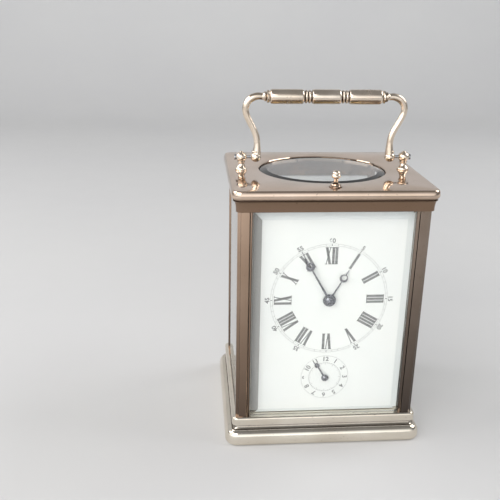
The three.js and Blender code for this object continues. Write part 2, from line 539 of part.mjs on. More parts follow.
// ---- platform escapement, on top of the movement ----
function escapement() {
  const z = PLATFORM_Z;
  const plate = block([-17, -25.5, z], [17, 17.5, z + 1.8]);
  const opening = rodZ(ESCAPE.x, ESCAPE.y, 2.4, z - 1, z + 3, 14);
  add('platform', cut(plate, opening), BRASS);
  const wheel = rodZ(ESCAPE.x, ESCAPE.y, 4.4, z + 2.6, z + 3.1, 30);
  const pinion = rodZ(ESCAPE.x, ESCAPE.y, 1.1, 103.2, 108.4, 10);
  const arbor = rodZ(ESCAPE.x, ESCAPE.y, 0.5, 102.6, z + 4.4, 8);
  add('escape_wheel', fuse(wheel, pinion, arbor), BRASS);
  const leverShape = new THREE.Shape();
  leverShape.moveTo(-3.6, -1.1);
  leverShape.lineTo(-0.9, -0.8);
  leverShape.lineTo(-0.4, -5.6);
  leverShape.lineTo(0.4, -5.6);
  leverShape.lineTo(0.9, -0.8);
  leverShape.lineTo(3.6, -1.1);
  leverShape.lineTo(3.6, 0);
  leverShape.lineTo(0, 1);
  leverShape.lineTo(-3.6, 0);
  leverShape.closePath();
  const settings = { depth: 0.5, bevelEnabled: false };
  const lever = new THREE.ExtrudeGeometry(leverShape, settings).rotateZ(Math.PI * 1.09);
  const leverAt = lever.translate(LEVER.x, LEVER.y, z + 3.5);
  add('lever', fuse(leverAt, rodZ(LEVER.x, LEVER.y, 0.45, z + 2.2, z + 4.6, 8)), STEEL);
  const rim = cut(rodZ(BALANCE.x, BALANCE.y, 8.6, z + 6.6, z + 7.7, 36),
    rodZ(BALANCE.x, BALANCE.y, 7.5, z + 6, z + 9, 36));
  const arm = block([BALANCE.x - 8, BALANCE.y - 0.7, z + 6.7], [BALANCE.x + 8, BALANCE.y + 0.7, z + 7.5]);
  const staff = rodZ(BALANCE.x, BALANCE.y, 0.6, z + 2.2, z + 9.6, 8);
  add('balance_wheel', fuse(rim, arm, staff), BRASS);
  const spiral = [];
  for (let i = 0; i <= 40; i += 1) {
    const turn = (i / 40) * Math.PI * 2 * 2.5;
    const radius = 1.6 + (turn / (Math.PI * 2)) * 1.2;
    spiral.push(new THREE.Vector3(BALANCE.x + radius * Math.cos(turn), BALANCE.y + radius * Math.sin(turn),
      z + 8.5));
  }
  add('hairspring', bentRod(spiral, 0.16, 50, 4), BLUED);
  const bridge = block([BALANCE.x - 2.2, BALANCE.y - 2.4, z + 9.9], [BALANCE.x + 2.2, 17, z + 11.2]);
  const foot = block([BALANCE.x - 4.4, 14, z + 2.1], [BALANCE.x + 4.4, 17.2, z + 11.2]);
  add('balance_cock', fuse(bridge, foot), BRASS);
}

// ---- gong and hammer, behind the back plate ----
function gongAndHammer() {
  const steps = 46;
  const turns = 2.1;
  const points = [];
  for (let i = 0; i <= steps; i += 1) {
    const radius = GONG_INNER + (i / steps) * (GONG_OUTER - GONG_INNER);
    const angle = -Math.PI / 2 + (1 - i / steps) * Math.PI * 2 * turns;
    points.push(new THREE.Vector3(radius * Math.cos(angle), GONG_Y, GONG_Z + radius * Math.sin(angle)));
  }
  add('gong', bentRod(points, GONG_WIRE, 72, 6), BLUED);
  const end = points[steps];
  const blockTop = end.z - GONG_WIRE - GAP;
  add('gong_block', block([end.x - 5, GONG_Y - 3, BASE_TOP + GAP], [end.x + 5, GONG_Y + 3, blockTop]), BRASS);
  const pivot = HAMMER_PIVOT;
  const headAt = HAMMER_HEAD;
  const outline = [[pivot.x - 0.7, pivot.z], [headAt.x - 0.7, headAt.z], [headAt.x + 0.7, headAt.z],
    [pivot.x + 0.7, pivot.z]].map(([x, z]) => new THREE.Vector2(x, z));
  const stem = plateY(new THREE.Shape(outline), 21.4, 1.2);
  const head = rodY(headAt.x, headAt.z, 2.3, 21, 28.6, 14);
  const boss = rodY(pivot.x, pivot.z, 1.9, 21.2, 22.8, 12);
  const bore = rodY(pivot.x, pivot.z, 1, 18, 26, 10);
  add('hammer', cut(fuse(stem, head, boss), bore), STEEL);
}

base();
cornice();
pillars();
panes();
rearDoor();
handle();
repeatButton();
dial();
hands();
motionWork();
frame();
barrels();
centreArbor();
goingTrain();
alarmSetting();
strikeTrain();
escapement();
gongAndHammer();

export default clock;
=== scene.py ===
"""Looks of the brass carriage clock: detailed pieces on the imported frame, materials, light and camera."""

import json
import math

import bmesh
import bpy
from mathutils import Matrix, Vector


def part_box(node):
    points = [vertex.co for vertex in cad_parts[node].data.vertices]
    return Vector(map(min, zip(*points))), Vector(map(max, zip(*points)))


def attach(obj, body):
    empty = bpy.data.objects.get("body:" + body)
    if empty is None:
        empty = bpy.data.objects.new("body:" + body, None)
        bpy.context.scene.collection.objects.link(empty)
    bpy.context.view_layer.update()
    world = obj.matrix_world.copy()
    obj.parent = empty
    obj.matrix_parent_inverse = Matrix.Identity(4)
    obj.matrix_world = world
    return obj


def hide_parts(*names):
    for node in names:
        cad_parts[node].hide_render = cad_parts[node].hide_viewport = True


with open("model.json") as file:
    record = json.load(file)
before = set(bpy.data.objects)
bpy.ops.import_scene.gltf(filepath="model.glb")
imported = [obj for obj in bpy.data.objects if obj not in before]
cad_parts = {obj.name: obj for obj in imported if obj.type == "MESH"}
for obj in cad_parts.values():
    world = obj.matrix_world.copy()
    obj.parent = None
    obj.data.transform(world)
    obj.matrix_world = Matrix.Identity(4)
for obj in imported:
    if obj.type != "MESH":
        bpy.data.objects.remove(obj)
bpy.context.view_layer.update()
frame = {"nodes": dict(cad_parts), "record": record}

MM = 0.001  # shapes are in millimetres until mesh_object() turns them into metres
TAU = 2 * math.pi
SHADOW_LINE = 0.03  # thickness of the printing on the dial


# ---- where the CAD says things are, in millimetres ----
def low(node):
    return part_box(node)[0] / MM


def high(node):
    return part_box(node)[1] / MM


def middle(node):
    return (low(node) + high(node)) / 2


BASE_TOP = high("base").z
CORNICE_LOW, CORNICE_TOP = low("cornice").z, high("glass_top").z + 0.1
BODY_X = high("pillar_front_right").x
BODY_Y = high("pillar_rear_right").y
BASE_X, BASE_Y = high("base").x, high("base").y
CORNICE_X, CORNICE_Y = high("cornice").x, high("cornice").y
DIAL_Y = low("dial").y
DIAL_Z = middle("hour_wheel").z
ALARM_Z = middle("alarm_setting_arbor").z
PIVOT_X, PIVOT_Z = 34.7, middle("handle_pivot_screw_left").z
POST_X = middle("handle_post_right").x
GRIP_Z = middle("handle_grip").z
OVAL_Y = middle("glass_top").y
PLATE_FRONT = low("movement_front_plate").y
PLATE_BACK = high("movement_back_plate").y
PLATFORM_Z = low("platform").z


# ---- objects ----
def add(name, data):
    made = bpy.data.objects.new(name, data)
    bpy.context.scene.collection.objects.link(made)
    return made


def mesh_object(name, bm, material, solid=True):
    """An object in metres from a bmesh in millimetres."""
    bmesh.ops.scale(bm, vec=(MM, MM, MM), verts=bm.verts)
    if solid:
        bmesh.ops.recalc_face_normals(bm, faces=bm.faces)
    mesh = bpy.data.meshes.new(name)
    bm.to_mesh(mesh)
    bm.free()
    mesh.shade_smooth()
    mesh.materials.append(material)
    return add(name, mesh)


# ---- shapes, built as bmeshes in millimetres ----
def polar(radius, t, x=0, y=0):
    return x + radius * math.cos(t), y + radius * math.sin(t)


def arc(x, y, radius, start, end, steps):
    """Points of an arc in degrees, both ends included."""
    return [polar(radius, math.radians(start + (end - start) * i / steps), x, y) for i in range(steps + 1)]


def curve(x, y, size_x, size_y, angles):
    """Points of an oval's arc at angles in degrees."""
    turns = [math.radians(a) for a in angles]
    return [(x + size_x * math.cos(t), y + size_y * math.sin(t)) for t in turns]


def bead(size, y, half, angles, neck=0):
    """Points of a turned bead at angles from its lowest point. A size below zero makes a hollow."""
    turns = [math.radians(a) for a in angles]
    return [(neck + size * math.sin(t), y - half * math.cos(t)) for t in turns]


def circle(x, y, radius, sides=24):
    return arc(x, y, radius, 0, 360, sides)[:-1]


def skin(loops, wrap=False):
    """Faces between loops of equal length. A loop of one point closes to it, and open ends are capped."""
    bm = bmesh.new()
    rings = [[bm.verts.new(point) for point in loop] for loop in loops]
    pairs = list(zip(rings, rings[1:])) + ([(rings[-1], rings[0])] if wrap else [])
    for a, b in pairs:
        count = max(len(a), len(b))
        for i in range(count):
            corners = [a[i % len(a)], a[(i + 1) % len(a)], b[(i + 1) % len(b)], b[i % len(b)]]
            bm.faces.new(list(dict.fromkeys(corners)))
    if not wrap:
        for ring in (rings[0], rings[-1]):
            if len(ring) > 2:
                bm.faces.new(ring)
    return bm


def lathe(profile, segments=48, ring=False):
    """A turned solid on Z from (radius, height) points. A ring's profile is a closed outline off the axis."""
    loops = [[(0, 0, height)] if radius < 1e-6 else [(x, y, height) for x, y in circle(0, 0, radius, segments)]
             for radius, height in profile]
    return skin(loops, wrap=ring)


def moved(bm, x=0, y=0, z=0):
    bmesh.ops.translate(bm, vec=(x, y, z), verts=bm.verts)
    return bm


def turned(bm, axis, degrees):
    turn = Matrix.Rotation(math.radians(degrees), 3, axis)
    bmesh.ops.rotate(bm, cent=(0, 0, 0), matrix=turn, verts=bm.verts)
    return bm


def lathe_x(profile, y, z, segments=48):
    """A turned solid along X, whose profile heights are world x."""
    return moved(turned(lathe(profile, segments), "Y", 90), 0, y, z)


def lathe_y(profile, x, z, segments=48, ring=False):
    """A turned solid or ring along Y, whose profile heights are world y."""
    return moved(turned(lathe(profile, segments, ring), "X", -90), x, 0, z)


def tube_profile(outer, inner, start, end, edge=0.12):
    """Profile of a plain tube with softened outer edges."""
    return [(inner, start), (outer - edge, start), (outer, start + edge),
            (outer, end - edge), (outer - edge, end), (inner, end)]


def rod(radius, start, end, edge=0.15):
    return tube_profile(radius, 0, start, end, edge)


def merged(*parts):
    """One bmesh that holds several solids."""
    whole = bmesh.new()
    for part in parts:
        mesh = bpy.data.meshes.new("part")
        bmesh.ops.recalc_face_normals(part, faces=part.faces)
        part.to_mesh(mesh)
        part.free()
        whole.from_mesh(mesh)
        bpy.data.meshes.remove(mesh)
    return whole


def flat(outline, holes, start, end, bevel=0):
    """A plate in XY with holes, from z start to z end."""
    bm = bmesh.new()
    edges = []
    for loop in [outline, *holes]:
        verts = [bm.verts.new((x, y, start)) for x, y in loop]
        edges += [bm.edges.new((verts[i - 1], verts[i])) for i in range(len(verts))]
    bmesh.ops.triangle_fill(bm, use_beauty=True, use_dissolve=False, edges=edges)
    grown = bmesh.ops.extrude_face_region(bm, geom=bm.faces[:])
    tops = [item for item in grown["geom"] if isinstance(item, bmesh.types.BMVert)]
    bmesh.ops.translate(bm, vec=(0, 0, end - start), verts=tops)
    bmesh.ops.recalc_face_normals(bm, faces=bm.faces)
    if bevel:
        rims = [e for e in bm.edges if len(e.link_faces) == 2 and e.calc_face_angle(0) > 1.2
                and abs(e.verts[0].co.z - e.verts[1].co.z) < 1e-6]
        bmesh.ops.bevel(bm, geom=rims, offset=bevel, segments=2, affect="EDGES", profile=0.5,
                        clamp_overlap=True)
    return bm


def front_flat(outline, holes, y_front, y_back, bevel=0):
    """A plate whose outline is in x and z."""
    return turned(flat(outline, holes, -y_back, -y_front, bevel), "X", 90)


def box(lowest, highest, bevel=0.2):
    bm = bmesh.new()
    bmesh.ops.create_cube(bm, size=1)
    for v in bm.verts:
        v.co = Vector(lowest[i] if v.co[i] < 0 else highest[i] for i in range(3))
    if bevel:
        bmesh.ops.bevel(bm, geom=bm.edges[:], offset=bevel, segments=2, affect="EDGES", profile=0.5)
    return bm


def smooth_path(points, steps):
    """A Catmull-Rom curve through points, with steps samples between neighbours."""
    p = [Vector(point) for point in points]
    p = [2 * p[0] - p[1], *p, 2 * p[-1] - p[-2]]
    path = []
    for a, b, c, d in zip(p, p[1:], p[2:], p[3:]):
        for i in range(steps):
            t = i / steps
            path.append(0.5 * (2 * b + (c - a) * t + (2 * a - 5 * b + 4 * c - d) * t**2
                               + (3 * b - a - 3 * c + d) * t**3))
    return path + [p[-2]]


def sweep(path, radius_at, sides=20):
    """A round bar along a path. radius_at gives its radius at a share of the length."""
    last = len(path) - 1
    tangents = [(path[min(i + 1, last)] - path[max(i - 1, 0)]).normalized() for i in range(last + 1)]
    across = tangents[0].orthogonal().normalized()
    loops = []
    for i, (point, tangent) in enumerate(zip(path, tangents)):
        if i:
            across.rotate(tangents[i - 1].rotation_difference(tangent))
        other = tangent.cross(across)
        loops.append([point + x * across + y * other for x, y in circle(0, 0, radius_at(i / last), sides)])
    return skin(loops)


def rounded_rectangle(half_x, half_y, radius, z, corner=8, side=12):
    """A level loop of 4 * (corner + side) points, with points along its straight sides."""
    loop = []
    x, y = half_x - radius, half_y - radius
    for quarter, (sign_x, sign_y) in enumerate([(1, 1), (-1, 1), (-1, -1), (1, -1)]):
        loop += arc(sign_x * x, sign_y * y, radius, 90 * quarter, 90 * quarter + 90, corner)
        for i in range(1, side):
            share = 1 - 2 * i / side
            along_x = quarter % 2 == 0
            loop.append((sign_x * share * x, sign_y * half_y) if along_x
                        else (sign_x * half_x, sign_y * share * y))
    return [(x, y, z) for x, y in loop]


def oval(half_x, half_y, z, corner=8, side=12):
    """A level oval about the top opening's middle, with a point for each point of the rounded rectangle."""
    guide = rounded_rectangle(CORNICE_X, CORNICE_Y, 4.5, z, corner, side)
    angles = [math.atan2((y - OVAL_Y) / half_y, x / half_x) for x, y, _ in guide]
    return [(half_x * math.cos(t), OVAL_Y + half_y * math.sin(t), z) for t in angles]


# one tooth: shares of the pitch, and of the tooth's depth below the tip (radii, for the club tooth)
ROUNDED_TOOTH = (0, 1), (0.22, 1), (0.32, 0.35), (0.45, 0.05), (0.61, 0), (0.77, 0.05), (0.9, 0.35)
CLUB_TOOTH = (0, 3.3), (0.5, 3.3), (0.66, 4.15), (0.6, 4.4), (0.88, 4.38), (0.93, 4.1)


def gear_outline(x, z, radius, teeth, depth, tooth=ROUNDED_TOOTH):
    """Clock teeth: each has a root gap, two flanks and a tip."""
    return [polar(radius - depth * drop, TAU * (i + share) / teeth, x, z) for i in range(teeth)
            for share, drop in tooth]


def gear(x, z, radius, teeth, depth, y_front, y_back, holes=()):
    return front_flat(gear_outline(x, z, radius, teeth, depth), holes, y_front, y_back)


def crossings(x, z, rim, hub, spokes, half_spoke):
    """The openings between a wheel's spokes."""
    holes = []
    for i in range(spokes):
        a = 360 * i / spokes
        outer = math.degrees(math.asin(half_spoke / rim))
        inner = math.degrees(math.asin(min(0.95, half_spoke / hub)))
        holes.append(arc(x, z, rim, a + outer, a + 360 / spokes - outer, 14)
                     + arc(x, z, hub, a + 360 / spokes - inner, a + inner, 6))
    return holes


def figure(number, size, radius, height, degrees):
    """A small printed number on the dial, at a radius from a dial's centre and turned clockwise."""
    text = bpy.data.curves.new("figures", "FONT")
    text.body = str(number)
    text.size = size
    text.align_x = text.align_y = "CENTER"
    text.extrude = SHADOW_LINE / 2
    text.offset = 0.09
    carrier = add("figures", text)
    mesh = bpy.data.meshes.new_from_object(carrier.evaluated_get(bpy.context.evaluated_depsgraph_get()))
    bm = bmesh.new()
    bm.from_mesh(mesh)
    bpy.data.objects.remove(carrier)
    bpy.data.curves.remove(text)
    bmesh.ops.remove_doubles(bm, verts=bm.verts, dist=1e-4)
    t = math.radians(degrees)
    return moved(turned(turned(bm, "Z", -degrees), "X", 90), radius * math.sin(t), DIAL_Y - SHADOW_LINE / 2,
                 height + radius * math.cos(t))


# ---- materials ----
class Nodes:
    """A node tree, with short ways to add to it."""

    def __init__(self, owner):
        owner.use_nodes = True
        self.tree = owner.node_tree

    def feed(self, socket, value):
        """Gives a socket a constant, or a link from another node's output."""
        if isinstance(value, bpy.types.NodeSocket):
            self.tree.links.new(value, socket)
        else:
            socket.default_value = value

    def node(self, kind, operation=None, **inputs):
        """A node with its inputs set by name, or by number as i0, i1 and so on."""
        made = self.tree.nodes.new(kind)
        if operation:
            made.operation = operation
        for name, value in inputs.items():
            by_number = name[0] == "i" and name[1:].isdigit()
            self.feed(made.inputs[int(name[1:]) if by_number else name.replace("_", " ")], value)
        return made

    def between(self, value, from_low, from_high, to_low, to_high):
        return self.node("ShaderNodeMapRange", Value=value, From_Min=from_low, From_Max=from_high, To_Min=to_low,
                         To_Max=to_high).outputs[0]

    def mix(self, factor, first, second):
        made = self.tree.nodes.new("ShaderNodeMix")
        made.data_type = "RGBA"
        for name, value in (("Factor", factor), ("A", first), ("B", second)):
            is_colour = name != "Factor"
            self.feed(next(s for s in made.inputs if s.name == name and (s.type == "RGBA") == is_colour), value)
        return next(s for s in made.outputs if s.type == "RGBA")


class Look(Nodes):
    """A material under construction, with its Principled shader."""

    def __init__(self, name, **sockets):
        self.material = bpy.data.materials.new(name)
        super().__init__(self.material)
        self.shader = next(n for n in self.tree.nodes if n.type == "BSDF_PRINCIPLED")
        self.output = next(n for n in self.tree.nodes if n.type == "OUTPUT_MATERIAL")
        self.place = self.node("ShaderNodeTexCoord").outputs["Object"]
        for socket, value in sockets.items():
            self.shader.inputs[socket.replace("_", " ")].default_value = value

    def link(self, source, socket):
        self.tree.links.new(source, self.shader.inputs[socket])

    def noise(self, scale, detail=3, stretch=None, distortion=0):
        """Noise in 0..1 over the piece. stretch scales the axes, for grain and brushing."""
        place = self.place
        if stretch:
            place = self.node("ShaderNodeMapping", Vector=place, Scale=stretch).outputs[0]
        return self.node("ShaderNodeTexNoise", Vector=place, Scale=scale, Detail=detail,
                         Distortion=distortion).outputs["Fac"]

    def blotches(self, scale, detail, start, end, first, second):
        """A colour that goes from first to second where the noise is from start to end."""
        return self.mix(self.between(self.noise(scale, detail), start, end, 0, 1), first, second)

    def grimed(self, tone, dirt_and_shade, reach, samples, local, ramp):
        """Paints shade into the hollows of the piece, or of all pieces if local is off: a painted shade from
        ambient occlusion.
        """
        hollow = self.node("ShaderNodeAmbientOcclusion", Distance=reach * MM)
        hollow.samples = samples
        hollow.only_local = local
        return self.mix(self.between(hollow.outputs["AO"], *ramp), tone, dirt_and_shade)

    def roughness(self, noise, smooth, dull, start=0.3, end=0.7):
        self.link(self.between(noise, start, end, smooth, dull), "Roughness")

    def bump(self, *layers):
        """Bumps from (height, strength, distance in mm) layers, one on the other."""
        normal = None
        for height, strength, distance in layers:
            made = self.node("ShaderNodeBump", Strength=strength, Distance=distance * MM, Height=height)
            if normal:
                self.tree.links.new(normal, made.inputs["Normal"])
            normal = made.outputs[0]
        self.link(normal, "Normal")


def polished_brass(name, colour, worn, dirt_and_shade, rough_low, rough_high, foot=None, neck=None):
    """Lacquered brass: soft tone changes, painted shade in the hollows, smudges in its polish.

    With a foot colour, an upright piece is painted darker and browner towards its lower end, a painted shade. With
    a neck colour, the piece is painted darker below the cornice's nosing, a painted shade on the frieze and cove."""
    look = Look(name, Metallic=1)
    tone = look.blotches(38, 4, 0.35, 0.65, colour, worn)
    # painted shade by height: darker towards the foot colour low on an upright, and towards the neck colour below
    # the nosing
    for dull, lowest, highest in ((foot, BASE_TOP, CORNICE_LOW), (neck, CORNICE_TOP - 5, CORNICE_TOP - 3)):
        if dull:
            level = look.node("ShaderNodeSeparateXYZ", Vector=look.place).outputs["Z"]
            tone = look.mix(look.between(level, lowest * MM, highest * MM, 0.9, 0), tone, dull)
    tone = look.mix(look.between(look.noise(900, 2), 0.68, 0.78, 0, 0.55), tone, dirt_and_shade)  # specks
    # painted shade: ambient occlusion darkens the hollows towards the same colour as the dirt specks
    look.link(look.grimed(tone, dirt_and_shade, 3.2, 6, True, (0.5, 0.97, 0.92, 0)), "Base Color")
    look.roughness(look.noise(70, 5, distortion=0.6), rough_low, rough_high)
    look.bump((look.noise(55, 2), 0.10, 0.4), (look.noise(2400, 2, (1, 1, 0.12)), 0.05, 0.02))
    return look.material


def movement_brass():
    """Gilt brass with a fine even grain, as on the plates of a movement."""
    look = Look("movement_brass_look", Metallic=1)
    tone = look.blotches(60, 3, 0.35, 0.65, (0.80, 0.58, 0.28, 1), (0.66, 0.46, 0.21, 1))
    # painted shade: ambient occlusion over all pieces darkens the plates where other parts come near
    look.link(look.grimed(tone, (0.20, 0.12, 0.05, 1), 3, 4, False, (0.3, 0.9, 0.6, 0)), "Base Color")
    look.roughness(look.noise(500, 3), 0.26, 0.42)
    look.bump((look.noise(5200, 1), 0.16, 0.03))
    return look.material


def polished_steel(name, dark, light, rough):
    look = Look(name, Metallic=1)
    look.link(look.blotches(120, 3, 0.3, 0.7, dark, light), "Base Color")
    look.roughness(look.noise(800, 2, (1, 0.1, 1)), rough * 0.7, rough * 1.3)
    look.bump((look.noise(3000, 1, (1, 0.08, 1)), 0.06, 0.02))
    return look.material


def enamel():
    """Fired white enamel: glossy, with a faint unevenness and a trace of warmth at places."""
    look = Look("enamel_look", Coat_Weight=0.35, Coat_Roughness=0.04)
    look.link(look.blotches(26, 3, 0.35, 0.7, (0.90, 0.90, 0.89, 1), (0.86, 0.87, 0.87, 1)), "Base Color")
    look.roughness(look.noise(140, 3), 0.09, 0.16)
    look.bump((look.noise(90, 2), 0.06, 0.3), (look.noise(1400, 2), 0.03, 0.03))
    return look.material


def ink():
    """Black glass paint, a little thin in places."""
    look = Look("ink_look", Coat_Weight=0.2)
    look.link(look.blotches(700, 3, 0.4, 0.75, (0.19, 0.19, 0.195, 1), (0.30, 0.30, 0.305, 1)), "Base Color")
    look.roughness(look.noise(900, 2), 0.22, 0.4)
    return look.material


def glass(name, colour, shade, smooth, dull, wavy=False):
    """Clear glass that lets lamps through with a shade's colour, so that it casts no black shadow."""
    look = Look(name, Base_Color=colour, Transmission_Weight=1, IOR=1.5)
    look.roughness(look.noise(60, 4, distortion=0.5), smooth, dull, 0.45, 0.75)
    if wavy:
        look.bump((look.noise(14, 1), 0.02, 0.5))
    clear = look.node("ShaderNodeBsdfTransparent", Color=shade)
    path = look.node("ShaderNodeLightPath")
    both = look.node("ShaderNodeMixShader", i0=path.outputs["Is Shadow Ray"], i1=look.shader.outputs[0],
                     i2=clear.outputs[0])
    look.tree.links.new(both.outputs[0], look.output.inputs["Surface"])
    return look.material


def glass_bevel(name, colour):
    """The ground bevel round a pane, tinted greyer than the pane: the grey is a painted view of the darker case
    that the bevel bends in.
    """
    return glass(name, colour, (0.88, 0.90, 0.91, 1), 0.01, 0.05)


def floor_paper():
    look = Look("floor_look")
    look.link(look.blotches(6, 3, 0.3, 0.7, (0.62, 0.62, 0.62, 1), (0.605, 0.605, 0.61, 1)), "Base Color")
    look.roughness(look.noise(40, 2), 0.75, 0.9)
    return look.material


# The case is one brass: these looks are lighter and darker copies of it, the pale base and handle with painted
# highlight, the pillars with painted shade
BRASSES = {  # colour, worn colour, colour of dirt specks and of painted shade in hollows, lowest and highest roughness, painted shade colours for the foot and below the nosing
    "case": ((0.70, 0.55, 0.45, 1), (0.58, 0.45, 0.35, 1), (0.07, 0.04, 0.025, 1), 0.05, 0.12, None,
             (0.20, 0.125, 0.08, 1)),
    "base": ((0.84, 0.78, 0.68, 1), (0.73, 0.66, 0.56, 1), (0.09, 0.07, 0.055, 1), 0.05, 0.12),
    "pillar": ((0.54, 0.39, 0.29, 1), (0.44, 0.31, 0.22, 1), (0.13, 0.085, 0.06, 1), 0.06, 0.14,
               (0.11, 0.078, 0.06, 1)),
    # a darker copy of the pillar brass, for the right pillars: painted shade
    "painted_shade_pillar": ((0.34, 0.27, 0.22, 1), (0.27, 0.21, 0.165, 1), (0.13, 0.09, 0.07, 1), 0.06, 0.14,
                    (0.055, 0.045, 0.04, 1)),
    "handle": ((0.82, 0.72, 0.61, 1), (0.72, 0.60, 0.48, 1), (0.12, 0.08, 0.055, 1), 0.17, 0.28),
}
# for each look: its material and slot
LOOKS = {name: (polished_brass(f"{name}_brass_look", *numbers), "case_brass")
         for name, numbers in BRASSES.items()}
BLUED = (0.25, 0.255, 0.285, 1), (0.34, 0.335, 0.355, 1), 0.26
STEEL = (0.42, 0.43, 0.45, 1), (0.62, 0.63, 0.65, 1), 0.2
LOOKS |= {
    "movement": (movement_brass(), "movement_brass"),
    "blued": (polished_steel("blued_steel_look", *BLUED), "blued_steel"),
    "steel": (polished_steel("steel_look", *STEEL), "steel"),
    "enamel": (enamel(), "enamel"),
    "ink": (ink(), None),
    "glass": (glass("glass_look", (0.97, 0.985, 0.98, 1), (0.93, 0.95, 0.94, 1), 0, 0.035, True), "glass"),
    # painted: the bevels' grey tints stand in for the darker view they bend in, and the left bevel's tint is darker
    # still
    "bevel": (glass_bevel("glass_bevel_look", (0.74, 0.78, 0.79, 1)), "glass"),
    "painted_dark_side_bevel": (glass_bevel("glass_side_bevel_look", (0.22, 0.215, 0.21, 1)), "glass"),
}


def place(name, bm, look="movement", body="root", replaces=(), smooth=25):
    """Turns a bmesh into a finished piece on its body. Edges sharper than smooth degrees stay crisp."""
    material, slot = LOOKS[look]
    made = mesh_object(name, bm, material)
    made.data.set_sharp_from_angle(angle=math.radians(smooth))
    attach(made, body)
    if replaces:
        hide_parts(*replaces)
    return made


def place_mover(name, bm, node, look="movement", smooth=25):
    """A piece for a CAD node that has a body of its own name."""
    return place(name, bm, look, node, [node], smooth)


def tint_bevels(sheet):
    """The sloping faces of a pane take a bevel's look with its painted grey, and the one on the left is painted
    darker still.
    """
    for look in ("bevel", "painted_dark_side_bevel"):
        sheet.data.materials.append(LOOKS[look][0])
    for face in sheet.data.polygons:
        if 0.9 < max(abs(c) for c in face.normal) < 0.995:
            face.material_index = 2 if face.normal.x < -0.05 else 1


def keep(look, node):
    """Gives a CAD node whose shape is right a finished material."""
    materials = frame["nodes"][node].data.materials
    materials.clear()
    materials.append(LOOKS[look][0])


FACINGS = {"+Z": ("X", 0), "-Z": ("X", 180), "-Y": ("X", 90), "+Y": ("X", -90), "+X": ("Y", 90),
           "-X": ("Y", -90)}


def slotted_head(radius, height, x, y, z, facing):
    """A cheese-head screw with a sawn slot, its head facing along an axis such as -Y or +Z."""
    half_slot = 0.14 * radius
    floor = 0.55 * height  # of the slot
    spread = math.degrees(math.asin(half_slot / radius))
    parts = [lathe(rod(radius, 0, floor, 0.1 * radius), 32)]
    for turn in (0, 180):
        outline = arc(0, 0, radius, turn + spread, turn + 180 - spread, 16)
        parts.append(flat(outline, [], floor - 0.01, height, 0.08 * radius))
    head = turned(merged(*parts), "Z", 35 + 50 * abs(math.sin(x * 1.7 + y + z)))
    return moved(turned(head, *FACINGS[facing]), x, y, z)


# ---- case ----
def moulded(rows, widest_x, widest_y, corner):
    """Level loops for a moulding: rows are (distance outside the body, height)."""
    share_y = (widest_y - BODY_Y) / (widest_x - BODY_X)
    return [rounded_rectangle(BODY_X + out, BODY_Y + out * share_y, corner + out, z) for out, z in rows]


def build_base():
    out = BASE_X - BODY_X
    rows = [(2.9, 0), (3.3, 0.12)]
    rows += curve(out - 1.7, 2.1, 1.7, 1.9, range(-78, 0, 12))
    rows += curve(2.1, 2.1, out - 2.1, 5.4, range(0, 85, 7))
    rows += [(2, 7.65), (1.8, 7.8), (1.8, 8.2)]
    rows += bead(-2.4, 10.5, 2.4, range(12, 91, 13), 1.8)
    rows += [(-0.6, 10.7), (1.4, 10.8), (1.78, 11), (1.85, 11.4), (1.85, 13.9), (1.72, 14.5), (1.35, 14.9),
             (0.9, 15), (0.6, BASE_TOP)]
    hollow = [rounded_rectangle(BODY_X - 0.8, BODY_Y - 0.8, 0.5, z) for z in (2.5, 0)]
    corners = [(middle(f"pillar_{row}_{side}").x, middle(f"pillar_{row}_{side}").y)
               for row in ("front", "rear") for side in ("left", "right")]
    outline = [(x, y) for x, y, _ in rounded_rectangle(BODY_X - 0.85, BODY_Y - 0.85, 0.5, 0)]
    sinkings = [circle(x, y, 2.3, 32) for x, y in corners]
    bottom = flat(outline, sinkings, 0.1, 2.55, 0.12)
    block = skin(hollow + moulded(rows, BASE_X, BASE_Y, 0.9))
    place("case_base", merged(block, bottom), "base", replaces=["base"], smooth=38)
    return [slotted_head(1.9, 1.5, x, y, 2.6, "-Z") for x, y in corners]


def build_cornice():
    out = CORNICE_X - BODY_X
    frieze, nosing = 124.5, 131.1  # heights where the flare and the nosing's round begin
    rows = [(0.75, CORNICE_LOW), (0.9, CORNICE_LOW + 0.15), (0.9, frieze)]
    rows += curve(2.2, frieze, -1.3, 4.3, range(10, 91, 10))
    rows += [(2.2, 129), (1.5, 129.15), (1.5, 129.4), (2.1, 129.55)]
    rows += curve(out - 1.5, nosing, 1.5, 1.5, range(-70, 0, 10))
    rows += curve(out - 1.4, nosing, 1.4, 2.9, range(0, 91, 9))
    loops = [rounded_rectangle(36, 33, 3, CORNICE_LOW)]
    loops += moulded(rows, CORNICE_X, CORNICE_Y, 1.4)
    for half_x, z in ((33.1, CORNICE_TOP), (32.6, CORNICE_TOP - 0.12), (32.3, CORNICE_TOP - 0.5), (32.2, 131.7),
                      (31, 131.7), (31, 130)):
        loops.append(oval(half_x, half_x - 3, z))
    loops.append(rounded_rectangle(36, 33, 3, 130))
    button = middle("repeat_button")
    bush = [(1.35, -0.5), (2.9, -0.5), (3, 0.1), (2.95, 0.4), (2.55, 0.6), (2.35, 0.8), (2.4, 1.1),
            (2.25, 1.45), (1.9, 1.6), (1.5, 1.5), (1.35, 1.2)]
    collar = moved(lathe(bush, ring=True), button.x, button.y, CORNICE_TOP)
    place("case_cornice", merged(skin(loops, wrap=True), collar), "case", replaces=["cornice"], smooth=30)


